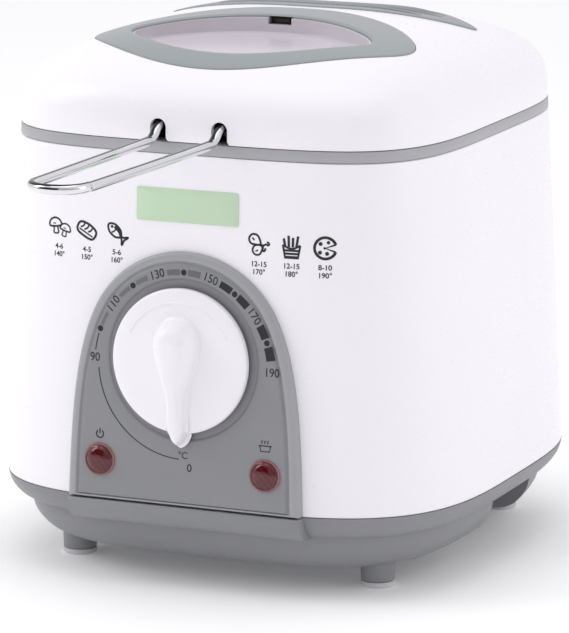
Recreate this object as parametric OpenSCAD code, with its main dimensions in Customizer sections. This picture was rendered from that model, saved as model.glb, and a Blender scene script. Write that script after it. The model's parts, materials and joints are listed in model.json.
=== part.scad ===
// Deep fryer: hinged domed lid with a window, dial thermostat, lift-out basket with a folding wire handle.
// Millimetres, +Z up, front towards -Y. The origin is midway between the four feet, on the worktop.

/* [Body] */
// Width of the body at the top of the base
body_w = 210; // [206:0.5:214]
// Depth of the body at the top of the base
body_d = 216; // [212:0.5:220]
// Width of the body under the rim band
top_w = 190.8; // [188:0.2:192]
// Depth of the body under the rim band
top_d = 205.2; // [203:0.2:208]
// Height of the line between base and housing
skirt_z = 35.9; // [35:0.1:36.2]
// Height of the line between housing and rim band
band_z = 180.2; // [180:0.1:180.4]
// Height of the rim band itself
band_h = 4.7; // [4.4:0.1:5]
// Housing wall thickness
wall = 2.6; // [2:0.1:3]

/* [Lid] */
// Height of the dome above the seam
lid_h = 39.6; // [38:0.1:41]
// Lid wall thickness
lid_wall = 2.4; // [2:0.1:2.6]
// Gap between the lid's edge and the rim band
lid_gap = 0.3; // [0.3:0.1:0.5]
// Width of each handle notch in the lid's front edge
notch_w = 7; // [6.6:0.1:7.6]
// Height of each handle notch above the seam
notch_h = 9.3; // [9.2:0.1:10]

/* [Base] */
// Distance between the feet, left to right
feet_x = 136; // [132:1:138]
// Distance between the feet, front to back
feet_y = 142; // [138:1:143]
// Diameter of a foot
foot_d = 14.5; // [13:0.5:15]
// Height of the underside above the worktop
floor_z = 9.5; // [9:0.1:10]

/* [Controls] */
// Height of the knob's centre
dial_z = 97; // [96:0.5:98]
// Radius of the panel's round top
panel_r = 44.5; // [43:0.5:46]
// Half width of the panel at its foot
panel_foot = 51.5; // [50:0.5:52]
// How far the panel stands out of the housing
panel_out = 3; // [2.8:0.1:3.4]
// Diameter of the knob's disc
knob_d = 59.5; // [56:0.5:62]
// Diameter of an indicator lens
lens_d = 13.5; // [12:0.5:14]
// Distance between the two indicator lenses
lens_gap = 73.6; // [72:0.2:76]
// Height of the indicator lenses
lens_z = 52.6; // [52:0.2:54]

/* [Pot and basket] */
// Inner radius of the oil pot
pot_r = 72; // [72:0.2:73]
// Height of the pot's underside
pot_z = 72; // [71.8:0.1:72.5]
// Basket radius at the top of the mesh
basket_r = 66; // [64:0.5:66]
// Height of the basket's mesh floor
basket_z = 90; // [88:1:94]
// Height of the top of the basket's mesh
basket_top = 182; // [180:0.5:182]
// Handle wire diameter
handle_d = 4; // [3.6:0.1:4]
// How far the handle's tip stands in front of its pivot
handle_reach = 150; // [140:1:155]

/* [Hidden] */
$fn = 48;
steps = 72;            // points round every body outline
feet_mid = 5.2;        // the feet's middle lies this far behind the body's middle
skirt_n = 3.63;        // squareness of the plan at the skirt
band_n = 4.24;         // and at the rim band
lid_n = 4.2;
dome_p = 2.094;        // how fast the dome turns over towards its top
dome_q = 3.365;        // and how upright it leaves the seam
seam_z = band_z + band_h;
top_k = (seam_z - skirt_z) / (band_z - skirt_z);
lid_a = mix(body_w, top_w, top_k) / 2;
lid_b = mix(body_d, top_d, top_k) / 2;
lean = atan((body_d - top_d) / 2 / (band_z - skirt_z));
dial_y = -mix(body_d, top_d, (dial_z - skirt_z) / (band_z - skirt_z)) / 2;
tier_z = 25.5;         // step between the two tiers of the base
tier_in = 8.6;         // how far the lower tier stands in
deck_z = 12;           // top of the base floor
shaft_r = 3;
pin_r = 1.98;
hinge_y = 110;
hinge_z = 188;
fold_y = -78;
fold_z = 191.5;
glass_z = 212.6;       // top of the window glass at its front edge
glass_rise = 0.078;    // and how it climbs towards the rear
liner_z = 201.4;
gland_x = 30;
gland_z = 52;
arm_screw_z = 193.8;
foot_spots = [for (x = [-1, 1], y = [-1, 1]) [x * feet_x / 2, feet_mid + y * feet_y / 2]];
liner_spots = [[-74, -5], [74, -5], [-52, 80], [52, 80]];
rim_spots = [[-88.2, 0], [88.2, 0], [0, -95.4], [0, 95.4]];
stations = [skirt_z + 0.5, 84, 132, band_z - 0.2];
vent_rows = [[32, 47], [38.5, 54], [45, 53], [51.5, 43]];
dome_steps = [0.008, 0.12, 0.25, 0.38, 0.5, 0.62, 0.72, 0.8, 0.87, 0.93];

// ---- outlines and surfaces ----

function mix(u, v, s) = u + (v - u) * s;

// Superellipse plan, one point every 5 degrees
function plan(a, b, n) = [for (i = [0:steps - 1])
    let (t = 360 * i / steps, r = pow(pow(abs(cos(t)) / a, n) + pow(abs(sin(t)) / b, n), -1 / n))
    [r * cos(t), r * sin(t)]];

function level(pts, z) = [for (p = pts) [p[0], p[1], z]];

// The tapering body at height z, moved in by inset
function body_ring(z, inset) = let (k = (z - skirt_z) / (band_z - skirt_z))
    level(plan(mix(body_w, top_w, k) / 2 - inset, mix(body_d, top_d, k) / 2 - inset,
        mix(skirt_n, band_n, k)), z);

function base_ring(z, inset) = level(plan(body_w / 2 - inset, body_d / 2 - inset, skirt_n), z);

// Height of the dome over a point, for a dome made smaller all round by drop
function dome_z(p, drop) =
    let (r = pow(pow(abs(p[0]) / (lid_a - drop), lid_n) + pow(abs(p[1]) / (lid_b - drop), lid_n), 1 / lid_n))
    seam_z + max(lid_gap, (lid_h - drop) * pow(max(0, 1 - pow(r, dome_p)), 1 / dome_q));

function on_dome(pts, drop, up = 0) = [for (p = pts) [p[0], p[1], dome_z(p, drop) + up]];

// Leaf outline: two arcs through (0, front) and (0, rear) that meet in soft tips near x = +-c, y = mid
function arc_reach(t, c, mid, apex) = let (h = abs(apex - mid), r = (c * c + h * h) / (2 * h),
    d = (apex < mid ? -1 : 1) * (r - h), s = sin(t)) -s * d + sqrt(s * s * d * d - d * d + r * r);
function leaf(c, mid, front, rear) = [for (i = [0:steps - 1]) let (t = 360 * i / steps,
    r = pow(pow(arc_reach(t, c, mid, front), -12) + pow(arc_reach(t, c, mid, rear), -12), -1 / 12))
    [r * cos(t), mid + r * sin(t)]];
function frame_leaf(d) = leaf(74 + d, -38, -86 - d, 14 + d);
function glass_leaf(d) = leaf(56 + d, -40, -71.5 - d, -9 + d);
function vent_leaf(d) = leaf(74 + d, 35, 24 - d, 62 + d);
function on_glass(pts, up) = [for (p = pts) [p[0], p[1], glass_z + (p[1] + 71.5) * glass_rise + up]];

// Ring on the way from the lid's edge (s = 0) to the window opening (s = 1)
function lid_ring(s, drop) = let (edge = plan(lid_a - drop, lid_b - drop, lid_n), hole = frame_leaf(0.25))
    on_dome([for (i = [0:steps - 1]) mix(edge[i], hole[i], s)], drop);
function dome_s(w) = 1 - pow(1 - pow(w, dome_q), 1 / dome_p);
function about(pts, mid, s) = [for (p = pts) [p[0] * s, mid + (p[1] - mid) * s]];

// ---- shape helpers ----

function skin(n, rows, wrap) = [for (j = [0:rows - (wrap ? 1 : 2)], i = [0:n - 1])
    let (a = j * n + i, b = j * n + (i + 1) % n, k = (j + 1) % rows, c = k * n + (i + 1) % n, d = k * n + i)
    each [[a, d, c], [a, c, b]]];

// Solid through a stack of rings, closed at both ends
module loft(rings) {
    n = len(rings[0]);
    last = (len(rings) - 1) * n;
    polyhedron([for (r = rings) each r],
        concat([[for (i = [0:n - 1]) i]], skin(n, len(rings), false), [[for (i = [0:n - 1]) last + n - 1 - i]]));
}

// Tube wall through a closed loop of rings
module loop_loft(rings) {
    polyhedron([for (r = rings) each r], skin(len(rings[0]), len(rings), true));
}

// Round wire swept along points
function unit(v) = v / norm(v);
function wire_rings(pts, r, sides) = [for (i = [0:len(pts) - 1])
    let (t = unit(pts[min(i + 1, len(pts) - 1)] - pts[max(i - 1, 0)]),
        u = unit(cross(t, abs(t[2]) > 0.9 ? [0, 1, 0] : [0, 0, 1])), v = cross(t, u))
    [for (k = [0:sides - 1]) pts[i] + r * (cos(360 * k / sides) * v - sin(360 * k / sides) * u)]];
module wire(pts, r, sides = 8) loft(wire_rings(pts, r, sides));

module rod(x, y, z, r, h) translate([x, y, z]) cylinder(r = r, h = h);
module along_x(x, y, z, r, h) translate([x, y, z]) rotate([0, 90, 0]) cylinder(r = r, h = h);
module along_y(x, y, z, r, h) translate([x, y, z]) rotate([-90, 0, 0]) cylinder(r = r, h = h);
module box(lo, hi) translate(lo) cube(hi - lo);
module mirrored() for (s = [0, 1]) mirror([s, 0, 0]) children();
module in_frame() translate([0, -feet_mid, 0]) children();

// Local axes of the leaning front: X right, Y up the panel, Z out of it, zero at the dial's centre
module on_panel() translate([0, dial_y, dial_z]) rotate([90 - lean, 0, 0]) children();
module screw(r, len, head_r, head_h) {
    cylinder(r = r, h = len);
    translate([0, 0, -head_h]) cylinder(r = head_r, h = head_h);
}

// ---- housing ----

module outer_housing() color("white") in_frame() difference() {
    union() {
        loop_loft(concat([for (z = stations) body_ring(z, 0)],
            [body_ring(band_z - 0.2, 10), body_ring(177.8, 10), body_ring(177.4, wall), body_ring(132, wall),
            body_ring(84, wall), body_ring(stations[0], wall)]));
        for (p = foot_spots) screw_post(p);
    }
    on_panel() {
        translate([0, 0, -12]) cylinder(r = 5, h = 24);
        for (x = [-14, 14]) translate([x, 0, -12]) cylinder(r = 1.7, h = 24);
        for (x = [-1, 1]) translate([x * lens_gap / 2, lens_z - dial_z, -12]) cylinder(r = lens_d / 2 - 0.4, h = 24);
    }
    for (p = rim_spots) rod(p[0], p[1], 170, 1.7, 20);
    for (p = foot_spots) rod(p[0], p[1], 10, 1.5, 30);
    for (x = [-14, 14]) along_y(x, 90, 168, 1.3, 20);
    box([gland_x - 7.6, 95, gland_z - 7.6], [gland_x + 7.6, 115, gland_z + 7.6]);
}

// Post over a foot, tied to the wall by two ribs
module screw_post(p) {
    sx = sign(p[0]);
    sy = sign(p[1]);
    reach = sy > 0 ? 91 : 95.5;
    rod(p[0], p[1], 22, 4.2, 48);
    box([min(p[0], sx * reach), p[1] - 1, 42], [max(p[0], sx * reach), p[1] + 1, 68]);
    box([p[0] - 1, min(p[1], sy * 98.4), 42], [p[0] + 1, max(p[1], sy * 98.4), 68]);
}

module base_pan() color("gray") in_frame() difference() {
    union() {
        loft([base_ring(floor_z, 24), base_ring(10.4, 19), base_ring(13.5, 14.2), base_ring(18.5, 10.4),
            base_ring(tier_z, tier_in), base_ring(tier_z + 0.1, 7.6), base_ring(28, 4), base_ring(31.5, 1.3),
            base_ring(skirt_z, 0), base_ring(skirt_z, wall + 0.4), base_ring(41, wall + 0.5),
            base_ring(41, wall + 2.4), base_ring(32, 6), base_ring(26, 12), base_ring(18, 14),
            base_ring(14, 18.5), base_ring(deck_z, 25)]);
        front_pad();
        mirrored() recess_wall();
        for (p = foot_spots) translate([p[0], p[1], 2.4])
            cylinder(r1 = foot_d / 2 - 0.5, r2 = foot_d / 2, h = deck_z - 1);
    }
    mirrored() recess();
    for (p = foot_spots) {
        rod(p[0], p[1], -1, 1.7, 20);
        rod(p[0], p[1], -1, 3.4, 7.2);
    }
}

// Proud flat pad under the control panel
module front_pad() translate([-panel_foot - 0.2, 0, 0]) rotate([90, 0, 90])
    linear_extrude(2 * panel_foot + 0.4)
        polygon([[-98, skirt_z], [-111.6, skirt_z], [-111.2, 32.6], [-109.4, 29], [-106.6, 26.6], [-103, tier_z],
            [-98, tier_z]]);

// Hand recess in each side of the lower tier, walled off from the inside
module recess() translate([0, -8, 0]) rotate([90, 0, 0]) mirror([0, 0, 1]) linear_extrude(46)
    polygon([[70, 0], [120, 0], [120, tier_z], [70, tier_z]]);
module recess_wall() translate([0, -10, 0]) rotate([90, 0, 0]) mirror([0, 0, 1]) linear_extrude(50)
    polygon([[68, 9.6], [81, 9.6], [88, 13.5], [93, 19], [95, 25], [95, 27.5], [68, 27.5]]);

module foot_pads() color("lightgray") in_frame() for (p = foot_spots) {
    rod(p[0], p[1], 0, foot_d / 2 - 0.1, 2.3);
    rod(p[0], p[1], 2.3, 3.2, 0.9);
}

module base_screws() color("silver") in_frame() for (p = foot_spots)
    translate([p[0], p[1], 6.1]) screw(1.45, 26, 3, 2.4);

module rim_ring() color("silver") in_frame() difference() {
    loop_loft([body_ring(band_z + 0.1, 0), body_ring(seam_z - 0.3, 0), body_ring(seam_z, 0.4), body_ring(seam_z, 9.6),
        body_ring(181.5, 10), body_ring(181.5, 3.9), body_ring(band_z + 0.1, 3.9)]);
    for (p = rim_spots) rod(p[0], p[1], 170, 1.45, 13.4);
}

module rim_screws() color("silver") in_frame() for (p = rim_spots)
    translate([p[0], p[1], 177.2]) screw(1.4, 5.9, 2.7, 1.8);

module oil_pot() color("dimgray") in_frame() union() {
    rotate_extrude($fn = 96) polygon(concat([[0, pot_z], [pot_r - 8.8, pot_z]],
        [for (t = [-75:15:0]) [pot_r - 8.8 + 10 * cos(t), pot_z + 10 + 10 * sin(t)]],
        [[pot_r + 1.2, 181.3], [pot_r, 181.3]],
        [for (t = [0:-15:-75]) [pot_r - 8.8 + 8.8 * cos(t), pot_z + 10 + 8.8 * sin(t)]],
        [[pot_r - 8.8, pot_z + 1.2], [0, pot_z + 1.2]]));
    difference() {
        translate([0, 0, 180.1]) linear_extrude(1.2) polygon(plan(91, 98.3, lid_n));
        rod(0, 0, 170, pot_r + 0.6, 20);
        for (p = rim_spots) rod(p[0], p[1], 170, 1.7, 20);
    }
}

module heat_spreader() color("silver") in_frame() difference() {
    rod(0, 0, 67.6, 62, pot_z - 67.65);
    translate([0, 0, 66.5]) rotate_extrude($fn = 72) translate([46, 0]) circle(4.2);
    rod(-24, 0, 60, 2.1, 10);
}

module heating_element() color("dimgray") in_frame() {
    translate([0, 0, 66.5]) rotate([0, 0, 112]) rotate_extrude(angle = 316, $fn = 72) translate([46, 0]) circle(4.1);
    mirrored() translate([46 * cos(68), 46 * sin(68), 66.5]) {
        sphere(4.4);
        translate([0, 0, -13]) cylinder(r = 3.9, h = 13);
    }
}

module element_terminals() color("linen") in_frame() mirrored() translate([46 * cos(68), 46 * sin(68), 0]) {
    rod(0, 0, 50, 3.2, 3.5);
    rod(0, 0, 44, 1.5, 6);
    box([-3.15, -0.4, 36], [3.15, 0.4, 44]);
}

module thermal_fuse() color("gold") in_frame() {
    along_x(14, -24, 64.6, 2.4, 14);
    along_x(8, -24, 64.6, 0.6, 22.6);
    box([18, -27.6, 62.4], [24, -27, 67.5]);
}

// Capillary and bulb of the thermostat, clipped under the heat spreader
module sensor_bulb() color("peru") in_frame() {
    wire([[0, -92, 80], [0, -92, 66], [0, -90, 58], [0, -84, 54], [0, -72, 54], [0, -60, 57], [0, -46, 61.4],
        [0, -30, 61.4], [0, -20, 63.6], [0, -14, 64.2]], 0.9, 8);
    along_y(0, -16, 64.2, 3.1, 38);
    for (y = [-10, 14]) box([-6, y, 60.1], [6, y + 4, 61]);
}

module heat_shield() color("silver") in_frame() difference() {
    rod(0, 0, 62, 84.6, 112);
    rod(0, 0, 61, 84, 114);
}

module thermostat_body() color("wheat") in_frame() on_panel() difference() {
    union() {
        translate([-13, -13, -17]) cube([26, 26, 13.8]);
        translate([-18, -4, -4.4]) cube([36, 8, 1.2]);
        translate([0, 0, -4]) cylinder(r = 4.9, h = 6);
        for (x = [-8, 5]) translate([x, 13, -12]) cube([3, 8, 0.8]);
    }
    translate([0, 0, -13]) cylinder(r = shaft_r + 0.05, h = 20);
    for (x = [-14, 14]) translate([x, 0, -10]) cylinder(r = 1.45, h = 10);
}

module thermostat_screws() color("silver") in_frame() on_panel() for (x = [-14, 14])
    translate([x, 0, panel_out - 0.75]) mirror([0, 0, 1]) screw(1.4, 9, 2.6, 1.2);

// Arch outline moved in by d: a round top with straight sides that flare to the foot
function arch(d) = let (foot = [panel_foot, -60.5], reach = norm(foot),
        t0 = atan2(foot[1], foot[0]) + acos(panel_r / reach), r = panel_r - d,
        run = (r * sin(t0) + 59.9 - 0.3 * d) / cos(t0),
        corner = [r * cos(t0) + run * sin(t0), r * sin(t0) - run * cos(t0)])
    concat([corner], [for (k = [0:32]) let (t = mix(t0, 180 - t0, k / 32)) [r * cos(t), r * sin(t) - 0.5]],
        [[-corner[0], corner[1]]]);

module control_panel() color("gray") in_frame() difference() {
    on_panel() loft([level(arch(0), -8), level(arch(0), panel_out - 2.2), level(arch(0.7), panel_out - 0.9),
        level(arch(2.4), panel_out)]);
    loft(concat([body_ring(10, -0.05)], [for (z = stations) body_ring(z, -0.05)]));
    on_panel() {
        translate([0, 0, panel_out - 0.8]) cylinder(r = 33, h = 5);
        translate([0, 0, -12]) cylinder(r = 5, h = 24);
        for (x = [-14, 14]) translate([x, 0, -12]) cylinder(r = 1.7, h = 24);
        for (x = [-1, 1]) translate([x * lens_gap / 2, lens_z - dial_z, -12]) cylinder(r = lens_d / 2 - 0.4, h = 24);
    }
}

// Plain coloured label, left blank
module blank_label() color("palegreen") in_frame() on_panel()
    translate([-22.5, 55.6, 0.05]) cube([45, 13.6, 0.4]);

module lens(side) color("firebrick") in_frame() on_panel() translate([side * lens_gap / 2, lens_z - dial_z, 0])
    rotate_extrude() polygon([[4.4, -6], [lens_d / 2 - 0.5, -6], [lens_d / 2 - 0.5, panel_out + 0.05],
        [lens_d / 2 + 0.75, panel_out + 0.05], [lens_d / 2 + 0.75, panel_out + 0.7], [lens_d / 2 + 0.2, panel_out + 1.1],
        [lens_d / 2 - 0.7, panel_out + 0.9], [5.2, panel_out + 1.7], [3.6, panel_out + 2.3], [1.9, panel_out + 2.65],
        [0, panel_out + 2.8], [0, panel_out + 1.4], [2.4, panel_out + 1.1], [4.4, panel_out + 0.2]]);
module power_lens() lens(-1);
module heat_lens() lens(1);

module lamp(side) color("orange") in_frame() on_panel() translate([side * lens_gap / 2, lens_z - dial_z, 0])
    union() {
        translate([0, 0, -14]) cylinder(r = 2.6, h = 15);
        translate([0, 0, 1]) sphere(2.6);
        for (x = [-1.2, 1.2]) translate([x, 0, -20]) cylinder(r = 0.4, h = 7);
    }
module power_lamp() lamp(-1);
module heat_lamp() lamp(1);

module lamp_sockets() color("black") in_frame() on_panel() for (side = [-1, 1])
    translate([side * lens_gap / 2, lens_z - dial_z, 0]) difference() {
        translate([0, 0, -16]) cylinder(r = 7.4, h = 9.9);
        translate([0, 0, -17]) cylinder(r = 2.7, h = 12);
    }

// Cord entry: a square-bodied grommet through the rear wall
module gland_slab(half, y0, y1) box([gland_x - half, y0, gland_z - half], [gland_x + half, y1, gland_z + half]);
module cord_gland() color("black") in_frame() difference() {
    union() {
        gland_slab(7.4, 96, 107.6);
        gland_slab(10, 107.6, 109.8);
        gland_slab(10, 100.8, 103);
    }
    along_y(gland_x, 90, gland_z, 3.3, 30);
}

module terminal_block() color("ivory") in_frame() {
    difference() {
        box([22, 50, deck_z + 0.1], [54, 66, 26]);
        for (x = [28, 38, 48]) {
            along_y(x, 49, 20, 1.8, 18);
            for (y = [54, 62]) rod(x, y, 20, 1.6, 10);
        }
    }
    for (x = [28, 38, 48], y = [54, 62]) rod(x, y, 21.9, 1.55, 3.6);
}

module internal_wires() color("royalblue") in_frame() {
    wire([[28, 49.4, 20], [28, 40, 20], [24, 30, 24], [20, 24, 34], [17.2, 30, 40], [17.2, 41.1, 40]], 1.1);
    wire([[38, 49.4, 20], [38, 30, 20], [36, 0, 24], [38, -20, 40], [34, -24, 58], [31.8, -24, 64.6]], 1.1);
    wire([[48, 49.4, 20], [48, 20, 19], [40, -20, 19], [20, -60, 24], [8, -86.4, 54], [8, -86.4, 84],
        [8, -86.2, 110], [6.5, -91.8, 117]], 1.1);
    wire([[-17.2, 41.1, 40], [-17.2, 36, 28], [-18, 10, 20], [-16, -50, 20], [-8, -84, 42], [-8, -86.4, 54],
        [-8, -86.2, 110], [-6.5, -91.8, 117]], 1.1);
    mirrored() wire([[36, -85.6, 52], [34, -80, 48], [24, -76, 36], [12, -70, 30]], 0.8);
}

module earth_screw() color("gold") in_frame() {
    rod(-24, 0, 56, 2, 11.5);
    rod(-24, 0, 60, 4.2, 3);
    box([-29, -3.2, 59.1], [-14, 3.2, 59.9]);
}

// Rear hinge: two lugs on a plate screwed to the housing, and the pin through them
module hinge_bracket() color("silver") in_frame() difference() {
    union() {
        box([-28, 103.5, 158], [28, 105.6, 178]);
        for (x = [-28, 20]) {
            translate([x, 0, 0]) rotate([90, 0, 90]) linear_extrude(8)
                polygon([[103.5, 158], [105.6, 158], [114, 181], [115, hinge_z], [107, 184], [103.5, 178]]);
            along_x(x, hinge_y, hinge_z, 5, 8);
        }
    }
    along_x(-40, hinge_y, hinge_z, pin_r + 0.02, 80);
    for (x = [-14, 14]) along_y(x, 90, 168, 1.6, 30);
}

module bracket_screws() color("silver") in_frame() for (x = [-14, 14])
    translate([x, 105.7, 168]) rotate([90, 0, 0]) screw(1.25, 8, 2.8, 1.6);

module hinge_pin() color("silver") in_frame() along_x(-28.5, hinge_y, hinge_z, pin_r, 57);

// ---- knob ----

module knob() color("white") in_frame() on_panel() difference() {
    union() {
        rotate_extrude($fn = 96) polygon([[0, 3.6], [6.4, 3.6], [6.4, 5.4], [27.6, 5.4], [27.6, 3.6],
            [knob_d / 2 - 0.4, 3.6], [knob_d / 2, 4.1], [knob_d / 2, 6.2], [knob_d / 2 - 0.9, 7.1], [20, 8.1], [0, 8.4]]);
        hull() {
            translate([0, 8.5, 6]) cylinder(r1 = 9.4, r2 = 7.2, h = 13.5, $fn = 32);
            translate([0, -30.5, 6.1]) cylinder(r1 = 3.6, r2 = 2.4, h = 4.5, $fn = 32);
        }
    }
    translate([0, 0, 3]) cylinder(r = shaft_r + 0.02, h = 11);
    translate([0, 0, 3]) cylinder(r = 4.6, h = 1.8);
}

module thermostat_shaft() color("silver") in_frame() on_panel() translate([0, 0, -12.5]) cylinder(r = shaft_r, h = 26);

module knob_clip() color("silver") in_frame() on_panel() difference() {
    translate([0, 0, 3.7]) cylinder(r = 4.5, h = 0.9);
    translate([0, 0, 3]) cylinder(r = shaft_r + 0.02, h = 3);
    translate([-0.8, 0, 3]) cube([1.6, 6, 3]);
}

// ---- lid ----

module lid_shell() color("white") in_frame() difference() {
    union() {
        loop_loft(concat([for (w = dome_steps) lid_ring(dome_s(w), 0)], [for (s = [0.66, 0.83, 1]) lid_ring(s, 0)],
            [for (s = [1, 0.8, 0.6]) lid_ring(s, lid_wall)],
            [for (k = [9:-2:1]) lid_ring(dome_s(dome_steps[k]), lid_wall)], [lid_ring(0, lid_wall)]));
        for (p = liner_spots) rod(p[0], p[1], liner_z + 0.1, 4, dome_z(p * (1 + 4 / norm(p)), 0) - 0.6 - liner_z);
    }
    mirrored() {
        box([13.5 - notch_w / 2, -110, seam_z - 1], [13.5 + notch_w / 2, -90, seam_z + notch_h - notch_w / 2]);
        along_y(13.5, -110, seam_z + notch_h - notch_w / 2, notch_w / 2, 20);
    }
    for (p = liner_spots) rod(p[0], p[1], 195, 1.4, 13);
    for (x = [-10, 10]) along_y(x, 90, arm_screw_z, 1.3, 20);
    for (row = vent_rows) box([4 - row[1], row[0] - 1, 200], [row[1] - 4, row[0] + 1, 230]);
}

module window_frame() color("darkgray") in_frame() loop_loft([on_dome(frame_leaf(-0.05), 0, -3.6),
    on_dome(frame_leaf(-0.05), 0), on_dome(frame_leaf(-0.8), 0, 0.5), on_dome(glass_leaf(1.4), 0, 0.5),
    on_dome(glass_leaf(0.3), 0, -0.4), on_glass(glass_leaf(0.3), 0.1), on_glass(glass_leaf(3.4), 0.1),
    on_dome(glass_leaf(4.6), 0, -3.6)]);

// Clear window moulded as a tray: a flat pane with a wall standing up inside the frame
module lid_window() color("lavender", 0.5) in_frame()
    loft([on_glass(glass_leaf(3.2), -2.5), on_glass(glass_leaf(3.2), 0), on_glass(glass_leaf(0.2), 0),
        on_dome(glass_leaf(0.2), 0, -0.9), on_dome(glass_leaf(-1), 0, -0.9), on_glass(glass_leaf(-1), 0)]);

module window_gasket() color("dimgray") in_frame() loop_loft([on_glass(glass_leaf(3.2), -3.7),
    on_glass(glass_leaf(3.2), -2.6), on_glass(glass_leaf(-0.8), -2.6), on_glass(glass_leaf(-0.8), -3.7)]);

// Pressed inner lid: an outer flange, a flat deck and a raised neck round the window
module lid_liner() color("silver") in_frame() difference() {
    loop_loft([level(plan(lid_a - 5, lid_b - 5, lid_n), 196.4), level(plan(lid_a - 4.6, lid_b - 4.6, lid_n), 197.8),
        level(plan(lid_a - 13, lid_b - 13, lid_n), liner_z), level(glass_leaf(7), liner_z),
        on_glass(glass_leaf(2.2), -3.8), on_glass(glass_leaf(0.8), -3.8), level(glass_leaf(5), liner_z - 1.4),
        level(plan(lid_a - 13, lid_b - 13, lid_n), liner_z - 1.4)]);
    for (p = liner_spots) rod(p[0], p[1], 195, 1.7, 13);
    for (x = [-28:7:28]) box([x - 1.5, 32, 195], [x + 1.5, 62, 205]);
}

module lid_screws() color("silver") in_frame() for (p = liner_spots)
    translate([p[0], p[1], liner_z - 1.5]) screw(1.35, 8, 2.8, 1.6);

// Louvred grille over the steam outlet
module vent_cover() color("gray") in_frame() difference() {
    loft(concat([level([for (p = vent_leaf(0)) [p[0] * 0.04, 42 + (p[1] - 42) * 0.04]], dome_z([0, 42], 0) + 0.4)],
        [for (s = [0.4, 0.75, 1]) on_dome(about(vent_leaf(0), 42, s), 0, 0.4)],
        [for (q = [[1, 0.9], [0.965, 1.4], [0.7, 1.5], [0.35, 1.5]]) on_dome(about(vent_leaf(0), 42, q[0]), 0, q[1])],
        [level([for (p = vent_leaf(0)) [p[0] * 0.04, 42 + (p[1] - 42) * 0.04]], dome_z([0, 42], 0) + 1.5)]));
    for (row = vent_rows) box([-row[1], row[0] - 1.1, 200], [row[1], row[0] + 1.1, 230]);
}

module filter_mesh() color("silver") in_frame() box([-34, 28, liner_z + 0.1], [34, 66, liner_z + 1]);
module filter_foam() color("black") in_frame() box([-33, 29, liner_z + 1.1], [33, 65, liner_z + 8]);

module lid_hinge_arm() color("white") in_frame() difference() {
    union() {
        along_x(-19.4, hinge_y, hinge_z, 5, 38.8);
        box([-19.4, 102.6, 186.2], [19.4, 104.6, 197]);
        box([-19.4, 104, 187], [19.4, 110, 191]);
    }
    along_x(-30, hinge_y, hinge_z, pin_r + 0.06, 60);
    for (x = [-10, 10]) along_y(x, 90, arm_screw_z, 1.6, 30);
}

module arm_screws() color("silver") in_frame() for (x = [-10, 10])
    translate([x, 104.7, arm_screw_z]) rotate([90, 0, 0]) screw(1.25, 5, 2.6, 1.5);

// ---- basket ----

function mesh_r(z) = mix(basket_r - 4.5, basket_r, (z - basket_z) / (basket_top - basket_z));

// The woven cup as a thin closed wall
module basket_mesh() color("silver") in_frame() rotate_extrude($fn = 72) polygon([[0, basket_z],
    [mesh_r(basket_z) - 3, basket_z], [mesh_r(basket_z), basket_z + 3], [basket_r, basket_top],
    [basket_r - 0.9, basket_top], [mesh_r(basket_z) - 0.9, basket_z + 3.4], [mesh_r(basket_z) - 3.4, basket_z + 0.9],
    [0, basket_z + 0.9]]);

module basket_rim() color("silver") in_frame() translate([0, 0, basket_top + 1.5])
    rotate_extrude($fn = 72) translate([basket_r + 0.7, 0]) circle(1.45);

// Stand-off wires under and round the mesh
module basket_frame() color("silver") in_frame() {
    translate([0, 0, basket_z - 1.4]) rotate_extrude($fn = 72) translate([54, 0]) circle(1.3);
    for (t = [45:90:315]) rotate([0, 0, t]) wire([[mesh_r(basket_top) + 0.9, 0, basket_top - 3],
        [mesh_r(130) + 1.4, 0, 130], [mesh_r(basket_z) + 1.4, 0, basket_z + 3], [mesh_r(basket_z) + 0.6, 0, basket_z],
        [mesh_r(basket_z) - 1.5, 0, basket_z - 10], [mesh_r(basket_z) - 3, 0, pot_z + 4],
        [mesh_r(basket_z) - 5.5, 0, pot_z + 2.9], [54, 0, pot_z + 6], [54, 0, basket_z - 1.4]], 1.1, 8);
}

module handle_bracket() color("silver") in_frame() difference() {
    union() {
        box([-12, -69.6, 160], [12, -68.7, 187]);
        box([-17, -84.5, 186], [17, -68.7, 187]);
        box([-17, -85.4, 186], [17, -84.5, fold_z - handle_d / 2 - 0.1]);
        box([-12, -84.5, 181.7], [12, -83.6, 187]);
        mirrored() {
            box([16, -81.5, 186], [17, -74.5, fold_z]);
            along_x(16, fold_y, fold_z, 3.5, 1);
        }
    }
    along_x(-30, fold_y, fold_z, handle_d / 2 + 0.05, 60);
}

// Bent wire loop: eyes on the fold axis, a dip in front of the lid, a round nose
function handle_half() = [[12.6, fold_y, fold_z], [13.2, fold_y - 2, fold_z], [13.5, fold_y - 5, fold_z],
    [13.5, -100.5, 191.2], [13.5, -103.5, 190.2], [13.5, -106.5, 187.8], [13.4, -110, 186.4],
    [13.1, -130, 186.3], [11.6, fold_y - handle_reach + 12, 186.9],
    for (t = [0:18:72]) [11.2 * cos(t), fold_y - handle_reach + 11.2 * (1 - sin(t)), 187]];
module basket_handle() color("gainsboro") in_frame() {
    half = handle_half();
    wire(concat(half, [[0, fold_y - handle_reach, 187]],
        [for (k = [len(half) - 1:-1:0]) [-half[k][0], half[k][1], half[k][2]]]), handle_d / 2, 16);
    mirrored() along_x(11.4, fold_y, fold_z, handle_d / 2, 8);
}

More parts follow.
